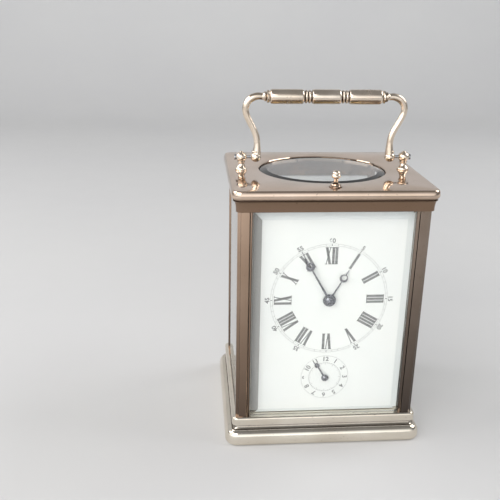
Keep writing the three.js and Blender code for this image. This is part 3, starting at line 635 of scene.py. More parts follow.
def build_pillars():
    width = high("pillar_front_right").x - low("pillar_front_right").x
    outer = [(1.95, 0), (1.72, 0.07), (1.58, 0.16), *arc(0, 0, 1.55, 8, 82, 10), (0.16, 1.58), (0.07, 1.72),
             (0, 1.95)]
    rear = [(0, width - 1.75), (0.12, width - 1.5), *arc(0, width, 1.5, -85, -10, 8), (1.75, width)]
    inner = [(width, 1.75), *arc(width, 0, 1.5, 100, 170, 8), (width - 1.75, 0)]
    outline = [*outer, *rear, (width - 0.35, width), (width - 0.1, width - 0.1), (width, width - 0.35), *inner]
    for row, sign_y in (("front", -1), ("rear", 1)):
        # the right pillars take the darker copy of the pillar brass, a painted shade
        for side, sign_x, look in (("left", -1, "pillar"), ("right", 1, "painted_shade_pillar")):
            corner = [(sign_x * (BODY_X - x), sign_y * (BODY_Y - y)) for x, y in outline]
            bar = flat(corner, [], BASE_TOP - 0.1, CORNICE_LOW + 0.1)
            place(f"case_pillar_{row}_{side}", bar, look, replaces=[f"pillar_{row}_{side}"], smooth=20)


def upright(half_x, half_z, y, z=0):
    return [(-half_x, y, z - half_z), (half_x, y, z - half_z), (half_x, y, z + half_z), (-half_x, y, z + half_z)]


def pane(width, height, thickness, bevel=4, drop=0.9):
    """Bevelled plate glass in XZ, its bevelled face towards -Y and its back at y = thickness."""
    section = [(0.15, thickness), (0, thickness - 0.15), (0, drop), (bevel, 0)]
    return skin([upright(width / 2 - inset, height / 2 - inset, y) for inset, y in section])


def build_glass():
    for node, degrees in (("glass_front", 0), ("glass_right", 90), ("glass_left", -90)):
        lowest, highest = low(node), high(node)
        lowest.z, highest.z = BASE_TOP, CORNICE_LOW  # the panes stand on the ledge
        size = highest - lowest
        centre = (lowest + highest) / 2
        width, thickness = (size.x, size.y) if degrees == 0 else (size.y, size.x)
        sheet = turned(moved(pane(width, size.z, thickness), 0, -thickness / 2, 0), "Z", degrees)
        tint_bevels(place(f"pane_{node[6:]}", moved(sheet, *centre), "glass", replaces=[node], smooth=4))
    top = high("glass_top")
    half_y = (top.y - low("glass_top").y) / 2
    loops = [oval(top.x - inset, half_y - inset, z) for inset, z in ((0.2, 132), (0, 132.15), (0, top.z - 0.8),
                                                                     (3.4, top.z))]
    tint_bevels(place("pane_top", skin(loops), "glass", replaces=["glass_top"], smooth=4))


DOOR_JOINT = next(j for j in frame["record"]["behaviour"]["joints"] if j["name"] == "rear_door_swing")
DOOR_PIN_X, DOOR_PIN_Y = DOOR_JOINT["pos_m"][0] / MM, 39.2
DOOR_BACK = 40.4


def build_rear_door():
    rim_low, half_x = low("rear_door_frame").y, high("rear_door_frame").x
    glass_low, glass_high = low("glass_rear_door"), high("glass_rear_door")
    z_low, z_high = glass_low.z - 3.1, glass_high.z + 3.1
    centre_z = (z_low + z_high) / 2
    half_z = (z_high - z_low) / 2
    section = [(0, rim_low + 0.3), (0, DOOR_BACK - 0.4), (0.4, DOOR_BACK), (3.1, DOOR_BACK),
               (3.5, DOOR_BACK - 0.25), (4, DOOR_BACK - 0.6), (4, rim_low + 1.75), (2.9, rim_low + 1.75),
               (2.9, rim_low), (0.3, rim_low)]
    rim = skin([upright(half_x - inset, half_z - inset, y, centre_z) for inset, y in section], wrap=True)
    pins = [moved(lathe(rod(0.7, start, end), 24), DOOR_PIN_X, DOOR_PIN_Y)
            for start, end in ((BASE_TOP - 1.4, z_low + 1), (z_high - 1, CORNICE_LOW + 1.4))]
    place("door_frame", merged(rim, *pins), "case", "rear_door", ["rear_door_frame"], smooth=30)
    size = glass_high - glass_low
    centre = (glass_low + glass_high) / 2
    sheet = turned(moved(pane(size.x, size.z, 1.4, 3.4, 0.6), 0, -0.7, 0), "Z", 180)
    tint_bevels(place("door_pane", moved(sheet, centre.x, centre.y + 0.05, centre.z), "glass", "rear_door",
                      ["glass_rear_door"], smooth=4))
    knob = middle("rear_door_knob")
    profile = [(0, -2), (0.6, -2), (0.6, 0), (1.7, 0), (1.75, 0.15), (1.3, 0.4), (0.8, 0.7),
               *bead(1.75, 2.05, 1.5, range(32, 175, 13)), (0, 3.55)]
    turning = moved(lathe_y(profile, knob.x, knob.z, 40), 0, DOOR_BACK)
    place("door_knob", turning, "case", "rear_door", ["rear_door_knob"], smooth=50)


# ---- handle ----
def build_posts():
    profile = [(0, -0.2), (2.85, -0.2), (3, 0.1), (3, 0.6), (2.75, 1.1), (2.3, 1.6), (1.9, 2.2), (1.62, 2.9),
               (1.6, 3.4), (1.9, 3.6), (2.15, 3.85), (2.15, 4.1), (1.85, 4.35),
               *bead(2.85, 6.6, 2.6, range(38, 150, 10)), (1.35, 8.85), (1, 9.05), (0.95, 9.25), (0.6, 9.45),
               (0, 9.5)]
    for side, sign in (("left", -1), ("right", 1)):
        place(f"post_{side}", moved(lathe(profile, 48), sign * POST_X, 0, CORNICE_TOP), "handle",
              replaces=[f"handle_post_{side}"], smooth=50)
        ends = sorted((sign * PIVOT_X, sign * (POST_X + 2.5)))
        head = slotted_head(1.45, 1, sign * (POST_X + 2.4), 0, PIVOT_Z, "+X" if sign > 0 else "-X")
        screw = merged(lathe_x(rod(0.75, *ends), 0, PIVOT_Z, 24), head)
        place(f"pivot_screw_{side}", screw, "steel", replaces=[f"handle_pivot_screw_{side}"], smooth=40)


def arm_radius(share):
    """The arm is stout at its foot, slim along the middle and full again at the shoulder."""
    foot = 0.6 * max(0, 1 - share / 0.16)
    shoulder = 0.3 * max(0, 1 - abs(share - 0.72) / 0.2)
    return 1.6 + foot + shoulder


def build_handle():
    for side, sign in (("left", -1), ("right", 1)):
        points = [(33.9, 141.9), (33.7, 145), (33.9, 149.5), (35.2, 153.6), (37.5, 158), (39.4, 162.2),
                  (39.5, 165.8), (37.6, 169), (34.2, 170.5), (31, GRIP_Z), (28.6, GRIP_Z)]
        path = smooth_path([(sign * x, 0, z) for x, z in points], 9)
        ball = bead(2.65, PIVOT_Z, 2.6, range(0, 156, 12))
        neck = [(1.5, 142.7), (2, 142.95), (2.15, 143.25), (2, 143.6), (1.6, 143.8), (0, 143.8)]
        foot = moved(lathe([(0, ball[0][1]), *ball[1:], *neck], 40), sign * (PIVOT_X - 0.45), 0, 0)
        collar = [(0, 28.3), (2.9, 28.3), (3.15, 28.6), (3.15, 29.2), (2.6, 29.5), (2.15, 29.8), (2.45, 30.2),
                  (2.45, 30.5), (1.9, 30.9), (1.5, 32.2), (0, 32.2)]
        collar = lathe_x([(r, sign * x) for r, x in collar], 0, GRIP_Z, 40)
        place(f"arm_{side}", merged(sweep(path, arm_radius, 24), foot, collar), "handle", "handle",
              [f"handle_arm_{side}"], smooth=50)
    half = [(3.56, 0), (3.63, 2), (3.6, 6.2), (3.4, 6.9), (3, 7.2), (2.45, 7.35), (2.4, 7.6),
            *bead(0.85, 8.35, 0.65, range(15, 166, 25), 2.45), (2.4, 9.1), (2.4, 9.3),
            *bead(0.85, 10.05, 0.65, range(15, 166, 25), 2.45), (2.4, 10.8), (2.45, 11.05), (3, 11.2),
            (3.4, 11.5), (3.6, 12.2), (3.63, 16), (3.63, 23), (3.58, 26.7), (3.45, 27.3), (3.1, 27.8), (2.7, 28),
            (0, 28)]
    mirrored = [(r, -x) for r, x in reversed(half[1:])]
    place("grip", lathe_x(mirrored + half, 0, GRIP_Z, 56), "handle", "handle", ["handle_grip"], smooth=50)


def build_button():
    button = middle("repeat_button")
    profile = [(0, -7.8), (1, -7.8), (1, 3.8), (1.15, 4), (1.75, 4.3), (2.1, 4.8), (2.15, 5.4), (2, 5.8),
               (1.75, 6), (1.7, 6.25), (1.85, 6.45), (1.75, 6.95), (1.35, 7.45), (0.7, 7.72), (0, 7.8)]
    place_mover("button", moved(lathe(profile, 40), button.x, button.y, CORNICE_TOP), "repeat_button", "handle", 50)


# ---- dial ----
THICK, THIN, SERIF = 1.25, 0.42, 0.32  # strokes of the Roman numerals
NUMERAL_LOW, NUMERAL_HIGH = 18.5, 27.2
TRACK_LOW, TRACK_HIGH = 27.9, 28.9  # radii of the minute track
ALARM_LOW, ALARM_HIGH = 8.2, 12.1


def stroke(x_low, x_high, width):
    """A slanted bar from the numeral's foot to its head, as an outline in its own x and y."""
    half = width / 2
    return [(x_low - half, NUMERAL_LOW), (x_low + half, NUMERAL_LOW), (x_high + half, NUMERAL_HIGH),
            (x_high - half, NUMERAL_HIGH)]


def tick(half, y_low, y_high, x=0):
    return [(x - half, y_low), (x + half, y_low), (x + half, y_high), (x - half, y_high)]


def glyph(letter, x):
    """Outlines of one Roman letter whose left edge is at x, and its width."""
    def head(at, half):
        return tick(half, NUMERAL_HIGH - SERIF, NUMERAL_HIGH, x + at)

    def foot(at, half):
        return tick(half, NUMERAL_LOW, NUMERAL_LOW + SERIF, x + at)
    if letter == "I":
        return [stroke(x + 0.75, x + 0.75, THICK), foot(0.75, 0.76), head(0.75, 0.76)], 1.55
    if letter == "V":
        return [stroke(x + 1.75, x + 0.8, THICK), stroke(x + 2, x + 2.85, THIN), head(0.8, 0.8),
                head(2.85, 0.6)], 3.45
    return [stroke(x + 2.6, x + 0.8, THICK), stroke(x + 0.7, x + 2.65, THIN), head(0.8, 0.8), head(2.65, 0.6),
            foot(2.6, 0.8), foot(0.7, 0.6)], 3.4


def printed(outline, holes=(), height=DIAL_Z, degrees=0):
    """A thin layer of ink on the dial, turned clockwise about a dial's centre."""
    t = math.radians(degrees)

    def spin(points):
        return [(x * math.cos(t) + y * math.sin(t), height - x * math.sin(t) + y * math.cos(t)) for x, y in points]
    return front_flat(spin(outline), [spin(hole) for hole in holes], DIAL_Y - SHADOW_LINE, DIAL_Y)


def fine_rings(radii, half_line, sides, height=DIAL_Z):
    return [printed(circle(0, 0, r + half_line, sides), [circle(0, 0, r - half_line, sides)], height)
            for r in radii]


def build_dial():
    keep("enamel", "dial")
    numerals = []
    for hour, text in enumerate("I II III IIII V VI VII VIII IX X XI XII".split(), 1):
        x = -sum(glyph(letter, 0)[1] for letter in text) / 2
        for letter in text:
            outlines, advance = glyph(letter, x)
            numerals += [printed(outline, degrees=30 * hour) for outline in outlines]
            x += advance
    track = fine_rings((TRACK_LOW, TRACK_HIGH), 0.045, 96)
    track += [printed(tick(0.06 if minute % 5 else 0.18, TRACK_LOW, TRACK_HIGH), degrees=6 * minute)
              for minute in range(60)]
    # the alarm dial's own twelve stands where the figure 30 would be
    figures = [figure(5 * step, 3.1, 30.4, DIAL_Z, 30 * step) for step in range(1, 13) if step != 6]
    alarm = fine_rings((ALARM_HIGH, ALARM_LOW), 0.05, 72, ALARM_Z)
    for quarter in range(48):
        length = 0.55 if quarter % 4 else 1.1
        alarm.append(printed(tick(0.07, ALARM_LOW - length, ALARM_LOW), (), ALARM_Z, 7.5 * quarter))
    alarm += [figure(hour, 3.3, 10.2, ALARM_Z, 30 * hour) for hour in range(1, 13)]
    for name, parts in (("roman_numerals", numerals), ("minute_track", track), ("five_minute_figures", figures),
                        ("alarm_ring", alarm)):
        place(name, merged(*parts), "ink", smooth=38)


def hand_outline(length, moon_at, moon, bar_low, bar_high, hub, pierced):
    """A Breguet hand pointing up: hub, slender bar, pierced moon and fine tip. Returns outline and opening."""
    half_low, half_high = bar_low / 2, bar_high / 2
    spread = math.degrees(math.asin(half_low / hub))
    joint = math.degrees(math.asin(half_high / moon))
    start = moon_at + moon
    tip = [(half_high * 0.75, start + 0.5), (half_high * 0.9, start + (length - start) * 0.25), (0.06, length)]
    outline = arc(0, 0, hub, 90 + spread, 450 - spread, 32)
    outline += arc(0, moon_at, moon, -90 + joint, 90 - joint, 16)
    outline += tip + [(-x, y) for x, y in reversed(tip)]
    outline += arc(0, moon_at, moon, 90 + joint, 270 - joint, 16)
    return outline, circle(0, moon_at + 0.5 * (1 - pierced) * moon, moon * pierced, 24)


def place_hand(node, body, sizes, bore, y_front, degrees, height, boss=None):
    outline, moon = hand_outline(*sizes)
    thick = 0.45 if boss else 0.55
    blade = flat(outline, [moon, circle(0, 0, bore, 24)], -y_front - thick, -y_front, 0.1)
    blade = moved(turned(turned(blade, "Z", -degrees), "X", 90), 0, 0, height)
    if boss:
        blade = merged(blade, lathe_y(boss, 0, height, 28))
    place(f"{node}_blade", blade, "blued", body, [node], smooth=30)


def build_hands():
    place_hand("hour_hand", "hour", (18.2, 13.1, 2.05, 0.75, 0.5, 3.2, 0.64), 2.2, -35.75, 29.4, DIAL_Z)
    place_hand("minute_hand", "minute", (29.8, 20.6, 2.15, 1.1, 0.7, 2.8, 0.42), 1.5, -36.65, -30, DIAL_Z)
    boss = [(0, -36.3), (0.5, -36.25), (0.9, -36.05), (1.2, -35.75), (1.2, -35.4), (0, -35.4)]
    place_hand("alarm_hand", "alarm_setting", (9.8, 8.3, 1.25, 0.9, 0.7, 1.8, 0.3), 0.8, -35.65, -31, ALARM_Z, boss)
    collet = [(0, -37.75), (0.6, -37.75), (0.85, -37.6), (0.95, -37.45), (1.5, -37.4), (1.9, -37.2), (2.2, -36.9),
              (2.2, -36.75), (0, -36.75)]
    place("minute_collet", lathe_y(collet, 0, DIAL_Z, 40), "blued", "minute", ["hand_collet"], smooth=35)


# ---- movement ----
ARBOR = (0.8, PLATE_FRONT + 0.4, PLATE_BACK - 0.2)  # of a train's wheel: radius, and ends in the plates
KEY_END = PLATE_BACK + 11  # of a square that takes a key


def rectangle(x_low, x_high, z_low, z_high, radius=1.2):
    x0, x1, z0, z1 = x_low + radius, x_high - radius, z_low + radius, z_high - radius
    return [point for x, z, start in ((x1, z1, 0), (x0, z1, 90), (x0, z0, 180), (x1, z0, 270))
            for point in arc(x, z, radius, start, start + 90, 5)]


def axis_of(node):
    centre = middle(node)
    return centre.x, centre.z


def build_wheel(name, node, radius, teeth, y_front, y_back, pinion, leaves, *pinion_span):
    """A crossed wheel with its leaved pinion and arbor, on a node's axis."""
    at = axis_of(node)
    wheel = gear(*at, radius, teeth, 0.75, y_front, y_back, crossings(*at, radius - 2.45, 2.6, 4, 0.75))
    hub = lathe_y(rod(2.2, y_front - 0.5, y_back + 0.5), *at, 32)
    whole = merged(wheel, hub, gear(*at, pinion, leaves, pinion * 0.34, *pinion_span),
                   lathe_y(rod(*ARBOR), *at, 24))
    place_mover(name, whole, node)


def barrel_piece(node, drum, y_front, y_back, bore, wheel, teeth, *wheel_span):
    """A spring barrel: a turned drum with a snapped-in cap and its toothed wheel."""
    at = axis_of(node)
    cap, inward = (y_front, 1) if wheel_span[0] > y_front else (y_back, -1)
    lid = [(drum * 0.45, cap - inward * 0.25), (drum - 1.6, cap - inward * 0.25), (drum - 1.4, cap),
           (drum - 1.4, cap + inward * 0.2), (drum * 0.45, cap + inward * 0.2)]
    return merged(lathe_y(tube_profile(drum, bore, y_front, y_back, 0.4), *at, 96, True),
                  lathe_y(lid, *at, 96, True), gear(*at, wheel, teeth, 1, *wheel_span, [circle(*at, bore, 32)]))


def squared_arbor(node, radius, y0, y1, half, y_end):
    """A winding or setting arbor whose squared end takes a key."""
    x, z = axis_of(node)
    square = box((x - half, y1 - 0.6, z - half), (x + half, y_end, z + half), 0.22)
    return merged(lathe_y(rod(radius, y0, y1), x, z, 32), square)


def build_seat(name, node, edge):
    """A block on the base that carries what is above it, 0.3 into that piece."""
    lowest, highest = low(node), high(node)
    block = box((lowest.x, lowest.y, BASE_TOP), (highest.x, highest.y, highest.z + 0.3), edge)
    place(name, block, replaces=[node])


def build_plates():
    bores = {"going_winding_arbor": 2.3, "strike_winding_arbor": 2.3, "alarm_barrel": 1.9, "centre_wheel": 1.2,
             "alarm_setting_arbor": 1.2, "third_wheel": 1.1, "contrate_wheel": 1.1, "strike_second_wheel": 1.1,
             "strike_fly": 1.1}
    holes = [circle(*axis_of(node), radius, 28) for node, radius in bores.items()]
    pillars = [f"movement_pillar_{i}" for i in range(1, 5)]
    screws = []
    for name in ("front", "back"):
        node = f"movement_{name}_plate"
        lowest, highest = low(node), high(node)
        outline = rectangle(lowest.x, highest.x, lowest.z, highest.z)
        place(f"plate_{name}", front_flat(outline, holes, lowest.y, highest.y, 0.25), replaces=[node])
        face, facing = (lowest.y, "-Y") if name == "front" else (highest.y, "+Y")
        for x, z in map(axis_of, pillars):
            screws.append(slotted_head(1.9, 1.1, x, face, z, facing))
    y0, y1 = PLATE_FRONT + 2.2, PLATE_BACK - 2.2
    half = [(2.9, 0), (2.9, 1), (2.3, 1.5), (1.9, 2.6), (2.2, 5)]
    post = [(0, y0), *[(r, y0 + y) for r, y in half], (2.3, (y0 + y1) / 2),
            *[(r, y1 - y) for r, y in reversed(half)], (0, y1)]
    for node in pillars:
        place(node.replace("movement", "plate"), lathe_y(post, *axis_of(node), 32), replaces=[node],
              smooth=40)
    for name in ("front", "rear"):
        build_seat(f"seat_{name}", f"movement_seat_{name}", 0.5)
    return screws


def build_barrels():
    for node, numbers in (("going_barrel", (16, -9, 12, 2.3, 19, 84, 12, 14)),
                          ("strike_barrel", (13.8, -21, 5, 2.3, 16.4, 78, -23, -21))):
        place_mover(f"{node}_drum", barrel_piece(node, *numbers), node)
    alarm = merged(barrel_piece("alarm_barrel", 8, -2, 12, 1.5, 9.4, 52, -4, -2),
                   squared_arbor("alarm_barrel", 1.6, PLATE_FRONT + 0.4, PLATE_BACK + 1.4, 1.05, KEY_END))
    place_mover("alarm_barrel_drum", alarm, "alarm_barrel")
    for node in ("going_winding_arbor", "strike_winding_arbor"):
        arbor = squared_arbor(node, 2, PLATE_FRONT + 0.4, PLATE_BACK + 1.4, 1.35, KEY_END)
        place_mover(f"{node}_squared", arbor, node, "steel")
    for node, body, numbers in (("alarm_setting_arbor", "alarm_setting", (0.7, -35.9, PLATE_BACK + 4, 1)),
                                ("centre_arbor", "minute", (0.8, -37.4, PLATE_BACK + 3, 1.1))):
        name = "alarm_setting_squared" if body == "alarm_setting" else "centre_arbor_squared"
        place(name, squared_arbor(node, *numbers, PLATE_BACK + 10), "steel", body, [node])


def build_trains():
    at = axis_of("centre_wheel")
    bore = circle(*at, 1.1, 24)
    wheel = gear(*at, 12.4, 75, 0.75, -15, -13.8, [bore, *crossings(*at, 9.9, 2.9, 4, 0.75)])
    centre = merged(lathe_y(tube_profile(1.7, 1.1, -15, 15.6), *at, 32, True), wheel,
                    gear(*at, 2.6, 12, 0.7, 10.5, 15.6, [bore]))
    place_mover("centre_wheel_crossed", centre, "centre_wheel")
    build_wheel("third_wheel_crossed", "third_wheel", 9.9, 60, -19.6, -18.5, 2, 10, -16.6, -12.4)
    build_contrate()
    build_wheel("strike_second_crossed", "strike_second_wheel", 9.2, 56, -10, -8.9, 2.2, 10, -22.8, -17.5)
    x, z = axis_of("strike_fly")
    vane = box((x - 5.4, 0, z - 0.3), (x + 5.4, 11, z + 0.3), 0.12)
    fly = merged(vane, lathe_y(rod(1.3, 0.6, 10.4), x, z, 24), gear(x, z, 1.7, 8, 0.6, -12, -7),
                 lathe_y(rod(*ARBOR), x, z, 24))
    place_mover("strike_fly_vane", fly, "strike_fly")


def build_contrate():
    """The contrate wheel: a crossed disc whose teeth stand up from its rim, towards the platform."""
    at = axis_of("contrate_wheel")
    radius, teeth, tooth = 8, 48, 3.9  # a tooth's width in degrees
    parts = [front_flat(circle(*at, radius, 72), crossings(*at, radius - 1.9, 2.4, 4, 0.7), -7.8, -6.8)]
    for i in range(teeth):
        a = 360 * i / teeth
        outline = arc(*at, radius, a, a + tooth, 2) + arc(*at, radius - 1, a + tooth, a, 2)
        parts.append(front_flat(outline, [], -9.2, -7.7))
    parts += [gear(*at, 2, 10, 0.65, -21, -17.2), lathe_y(rod(2, -8.4, -6.2), *at, 24),
              lathe_y(rod(*ARBOR), *at, 24)]
    place_mover("contrate_wheel_crown", merged(*parts), "contrate_wheel")


def build_motion_work():
    at = axis_of("hour_wheel")
    wheel = gear(*at, 7.5, 48, 0.7, -29.4, -28.6, [circle(*at, 1.6, 24), *crossings(*at, 5.2, 3, 4, 0.6)])
    hour = merged(lathe_y(tube_profile(1.9, 1.5, -36, -28.4), *at, 32, True), wheel)
    place("hour_wheel_crossed", hour, "movement", "hour", ["hour_wheel"])
    cannon = merged(lathe_y(tube_profile(1.2, 0.95, -36.9, -27.2, 0.05), *at, 32, True),
                    gear(*at, 2.3, 12, 0.65, -28, -26.4, [circle(*at, 0.95, 24)]))
    place("cannon_pinion_leaved", cannon, "steel", "minute", ["cannon_pinion"])
    at = axis_of("minute_wheel")
    bore = circle(*at, 1.1, 24)
    minute = merged(gear(*at, 7.8, 36, 0.75, -28.1, -27.3, [bore, *crossings(*at, 5.3, 2.6, 4, 0.6)]),
                    gear(*at, 1.9, 10, 0.55, -30.2, -27.5, [bore]))
    place_mover("minute_wheel_crossed", minute, "minute_wheel")
    place("minute_wheel_stud", lathe_y(rod(0.8, -31.2, PLATE_FRONT), *at, 24), "steel")
    foot = [(0, DIAL_Y + 1.2), (2.1, DIAL_Y + 1.2), (2.1, DIAL_Y + 1.7), (1.5, DIAL_Y + 2.1), (1.5, PLATE_FRONT),
            (0, PLATE_FRONT)]
    feet = [lathe_y(foot, x, z, 28) for z in (28, 104) for x in (30, -30)]
    place("dial_feet", merged(*feet), replaces=["dial_foot_1", "dial_foot_2"], smooth=30)


# ---- platform escapement ----
BALANCE_X, BALANCE_Y = -3.5, 4.5


def build_platform():
    z = PLATFORM_Z
    top = z + 1.8
    at = middle("escape_wheel")
    lowest, highest = low("platform"), high("platform")
    outline = rectangle(lowest.x, highest.x, lowest.y, highest.y, 1.6)
    place("platform_plate", flat(outline, [circle(at.x, at.y, 2.4, 32)], z, top, 0.25), replaces=["platform"])
    screws = [slotted_head(1.4, 0.9, x, y, top, "+Z") for x in (-14.6, 14.6) for y in (-22.8, 15)]
    wheel = flat(gear_outline(0, 0, 0, 15, -1, CLUB_TOOTH), crossings(0, 0, 2.6, 1.1, 4, 0.25), z + 2.6, z + 3.1)
    whole = merged(wheel, lathe(rod(0.9, z + 2.3, z + 3.5), 24),
                   flat(gear_outline(0, 0, 1.1, 7, 0.4), [], 103.2, 108.4),
                   lathe(rod(0.5, 102.6, z + 4.4, 0.1), 20))
    place_mover("escape_wheel_clubbed", moved(whole, at.x, at.y), "escape_wheel", "steel")
    arm = arc(0, 0, 1.7, 30, 270, 14) + [(6.2, -6.6)] + arc(8.6, -4.6, 2.2, -110, 60, 12) + [(6, -2)]
    cock = merged(flat([(x + at.x, y + at.y) for x, y in arm], [], z + 4.7, z + 5.6, 0.15),
                  box((at.x + 6.9, at.y - 6.2, top), (at.x + 10.3, at.y - 3, z + 4.8), 0.3))
    place("escape_cock", cock)
    screws.append(slotted_head(1.1, 0.7, at.x + 8.6, at.y - 4.6, z + 5.6, "+Z"))
    return screws


def build_balance():
    x, y, z = BALANCE_X, BALANCE_Y, PLATFORM_Z
    rim = [(7.5, 6.6), (8.3, 6.6), (8.4, 6.75), (8.4, 7.55), (8.3, 7.7), (7.5, 7.7)]
    parts = [lathe(rim, 96, True), box((-7.8, -0.6, 6.8), (7.8, 0.6, 7.4), 0.12),
             lathe(rod(0.6, 2.2, 9.6, 0.12), 24), lathe(rod(1.5, 6.3, 7.9), 28)]
    weights = 14
    for i in range(weights):
        weight = turned(lathe(rod(0.42, 7.9, 8.6, 0.08), 14), "Y", 90)
        parts.append(moved(turned(weight, "Z", 360 * (i + 0.5) / weights), 0, 0, 7.15))
    place("balance_rim", moved(merged(*parts), x, y, z), "movement", "balance", ["balance_wheel"], smooth=35)
    turns = [2.5 * i / 180 for i in range(181)]
    path = [Vector((*polar(1.5 + 1.2 * t, TAU * t, x, y), z + 8.5)) for t in turns]
    collet = moved(lathe(rod(1.6, z + 8.2, z + 8.8, 0.1), 24), x, y)
    place("hairspring_coil", merged(sweep(path, lambda share: 0.14, 8), collet), "blued", "balance",
          ["hairspring"], smooth=60)
    lowest, highest = low("balance_cock"), high("balance_cock")
    side = [(3.4, 12.6), (4.4, 13.6), (4.4, highest.y)]
    tongue = arc(x, y, 2.4, 200, 340, 16) + [(x + dx, dy) for dx, dy in side]
    tongue += [(x - dx, dy) for dx, dy in reversed(side)]
    bridge = flat(tongue, [circle(x, y, 0.75, 20)], z + 9.9, z + 11.2, 0.22)
    foot = box((lowest.x, 14, z + 1.8), (highest.x, highest.y, z + 10.2), 0.3)
    place("balance_cock_bridge", merged(bridge, foot), replaces=["balance_cock"])
    return [slotted_head(1.3, 0.8, x, 15.6, z + 11.2, "+Z")]


def build_lever():
    """The pallet lever: two arms that hold the pallets and a forked tail towards the balance staff."""
    z = PLATFORM_Z
    side = [(0.2, -4.9), (0.32, -5.6), (0.55, -5.4), (0.42, -4.4), (0.55, -1.2), (3.3, -1.5), (3.6, -1.1),
            (3.6, -0.1), (0.7, 0.9)]
    outline = side + [(-x, y) for x, y in reversed(side)]
    blade = turned(flat(outline, [], z + 3.5, z + 4, 0.06), "Z", 196.2)
    staff = lathe(rod(0.45, z + 2.2, z + 4.6, 0.1), 20)
    place_mover("lever_forked", moved(merged(blade, staff), -1.2, -3.4), "lever", "steel", 30)


# ---- gong and hammer ----
GONG_Z, GONG_TURNS = 52, 2.1
HAMMER_PIVOT, HAMMER_HEAD = (-31, 92), (-35.4, 60)


def build_gong():
    y = middle("gong_block").y
    path = []
    for i in range(201):
        share = i / 200
        x, z = polar(27 + 5.4 * share, TAU * ((1 - share) * GONG_TURNS - 0.25), 0, GONG_Z)
        path.append(Vector((x, y, z)))
    place("gong_coil", sweep(path, lambda share: 0.75, 12), "blued", replaces=["gong"], smooth=60)
    build_seat("gong_foot", "gong_block", 0.45)
    (x0, z0), (x1, z1) = HAMMER_PIVOT, HAMMER_HEAD
    stem = [(x0 - 1, z0), (x1 - 0.55, z1), (x1 + 0.55, z1), (x0 + 1, z0)]
    boss = front_flat(circle(x0, z0, 1.9, 28), [circle(x0, z0, 1, 20)], 21.2, 22.8, 0.15)
    striker = [(0, 20.9), (1.9, 20.9), (2.3, 21.3), (2.3, 27.6), (2, 28.3), (1.4, 28.6), (0, 28.6)]
    whole = merged(front_flat(stem, [], 21.4, 22.6, 0.2), boss, lathe_y(striker, x1, z1, 36))
    place_mover("hammer_forged", whole, "hammer", "steel", 30)
    stud = [(0, PLATE_BACK), (0.8, PLATE_BACK), (0.8, 23.1), (1.5, 23.1), (1.5, 23.7), (0, 23.7)]
    place("hammer_stud", lathe_y(stud, x0, z0, 24), "steel", smooth=30)


# ---- studio ----
FLOOR_HALF, FLOOR_FRONT, FLOOR_BACK, WALL_TOP, BEND = 2600, -1500, 900, 1500, 500  # millimetres
SKY = (0.97, 0.985, 1, 1)
LIT_SIDE = (-0.45, -0.89, 0)  # the side of the room that glows
LAMP_TARGET = Vector((0, 0, 0.07))
LAMPS = {  # place and size in metres, power, colour
    "key": ((-0.55, -0.85, 0.62), (0.95, 0.7), 7.6, (1, 0.97, 0.94)),
    "left": ((-0.95, 0.1, 0.75), (0.8, 0.8), 7.4, (1, 0.985, 0.97)),
    "right": ((0.95, 0.1, 0.8), (0.8, 0.8), 7.4, (1, 1, 1)),
}


def build_floor():
    """A sheet of paper that lies under the clock and bends up behind it."""
    floor = bmesh.new()
    rows = [(FLOOR_FRONT, 0), (FLOOR_BACK, 0), *curve(FLOOR_BACK, BEND, BEND, BEND, range(-84, 1, 6)),
            (FLOOR_BACK + BEND, WALL_TOP)]
    strips = [[floor.verts.new((x, y, z)) for x in (-FLOOR_HALF, FLOOR_HALF)] for y, z in rows]
    for a, b in zip(strips, strips[1:]):
        floor.faces.new((a[0], a[1], b[1], b[0]))
    sheet = mesh_object("studio_floor", floor, floor_paper(), solid=False)


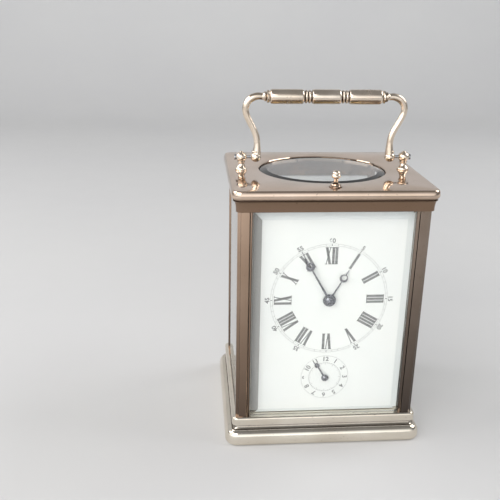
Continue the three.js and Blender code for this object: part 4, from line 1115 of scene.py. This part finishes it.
def build_world():
    """An even grey room with a soft glow low down on the lit side."""
    world = bpy.data.worlds.new("studio")
    bpy.context.scene.world = world
    room = Nodes(world)
    direction = room.node("ShaderNodeTexCoord").outputs["Generated"]
    height = room.node("ShaderNodeSeparateXYZ", Vector=direction).outputs["Z"]
    facing = room.node("ShaderNodeVectorMath", "DOT_PRODUCT", i0=direction, i1=LIT_SIDE).outputs["Value"]
    low_band = room.between(height, 0.12, 0.62, 1, 0)
    lit_half = room.between(facing, 0.1, 0.8, 0, 1)
    both = room.node("ShaderNodeMath", "MULTIPLY", i0=low_band, i1=lit_half).outputs[0]
    background = room.tree.nodes["Background"].inputs
    background["Color"].default_value = SKY
    room.feed(background["Strength"], room.between(both, 0, 1, 0.26, 1.6))


def build_lamps():
    for name, (at, size, power, colour) in LAMPS.items():
        data = bpy.data.lights.new(name, "AREA")
        data.shape = "RECTANGLE"
        data.size, data.size_y = size
        data.energy = power
        data.color = colour
        lamp = add(name, data)
        lamp.location = at
        lamp.rotation_euler = (LAMP_TARGET - Vector(at)).to_track_quat("-Z", "Y").to_euler()


CAMERA_AT = (-0.0653, -0.3440, 0.2160)  # metres
YAW, PITCH, ROLL = 0.08412, -0.34811, 0.01754  # radians
LENS, SENSOR = 50.256, 36


def build_camera():
    """Stands in front and to the left, looking down on the clock."""
    ahead = Vector((math.sin(YAW) * math.cos(PITCH), math.cos(YAW) * math.cos(PITCH), math.sin(PITCH)))
    level = Vector((math.cos(YAW), -math.sin(YAW), 0))
    raised = level.cross(ahead)
    right = math.cos(ROLL) * level + math.sin(ROLL) * raised
    up = math.cos(ROLL) * raised - math.sin(ROLL) * level
    data = bpy.data.cameras.new("camera")
    data.sensor_width = SENSOR
    data.lens = LENS
    data.clip_start = 0.01
    camera = add("camera", data)
    camera.matrix_world = Matrix.Translation(CAMERA_AT) @ Matrix((right, up, -ahead)).transposed().to_4x4()
    bpy.context.scene.camera = camera


build_camera()
case_screws = build_base()
build_cornice()
build_pillars()
build_glass()
build_rear_door()
build_posts()
build_handle()
build_button()
build_dial()
build_hands()
movement_screws = build_plates()
build_barrels()
build_trains()
build_motion_work()
movement_screws += build_platform()
movement_screws += build_balance()
build_lever()
build_gong()
place("case_screws", merged(*case_screws), "steel", smooth=30)
place("movement_screws", merged(*movement_screws), "blued", smooth=30)
build_floor()
build_world()
build_lamps()
bpy.context.scene.view_settings.view_transform = "Standard"
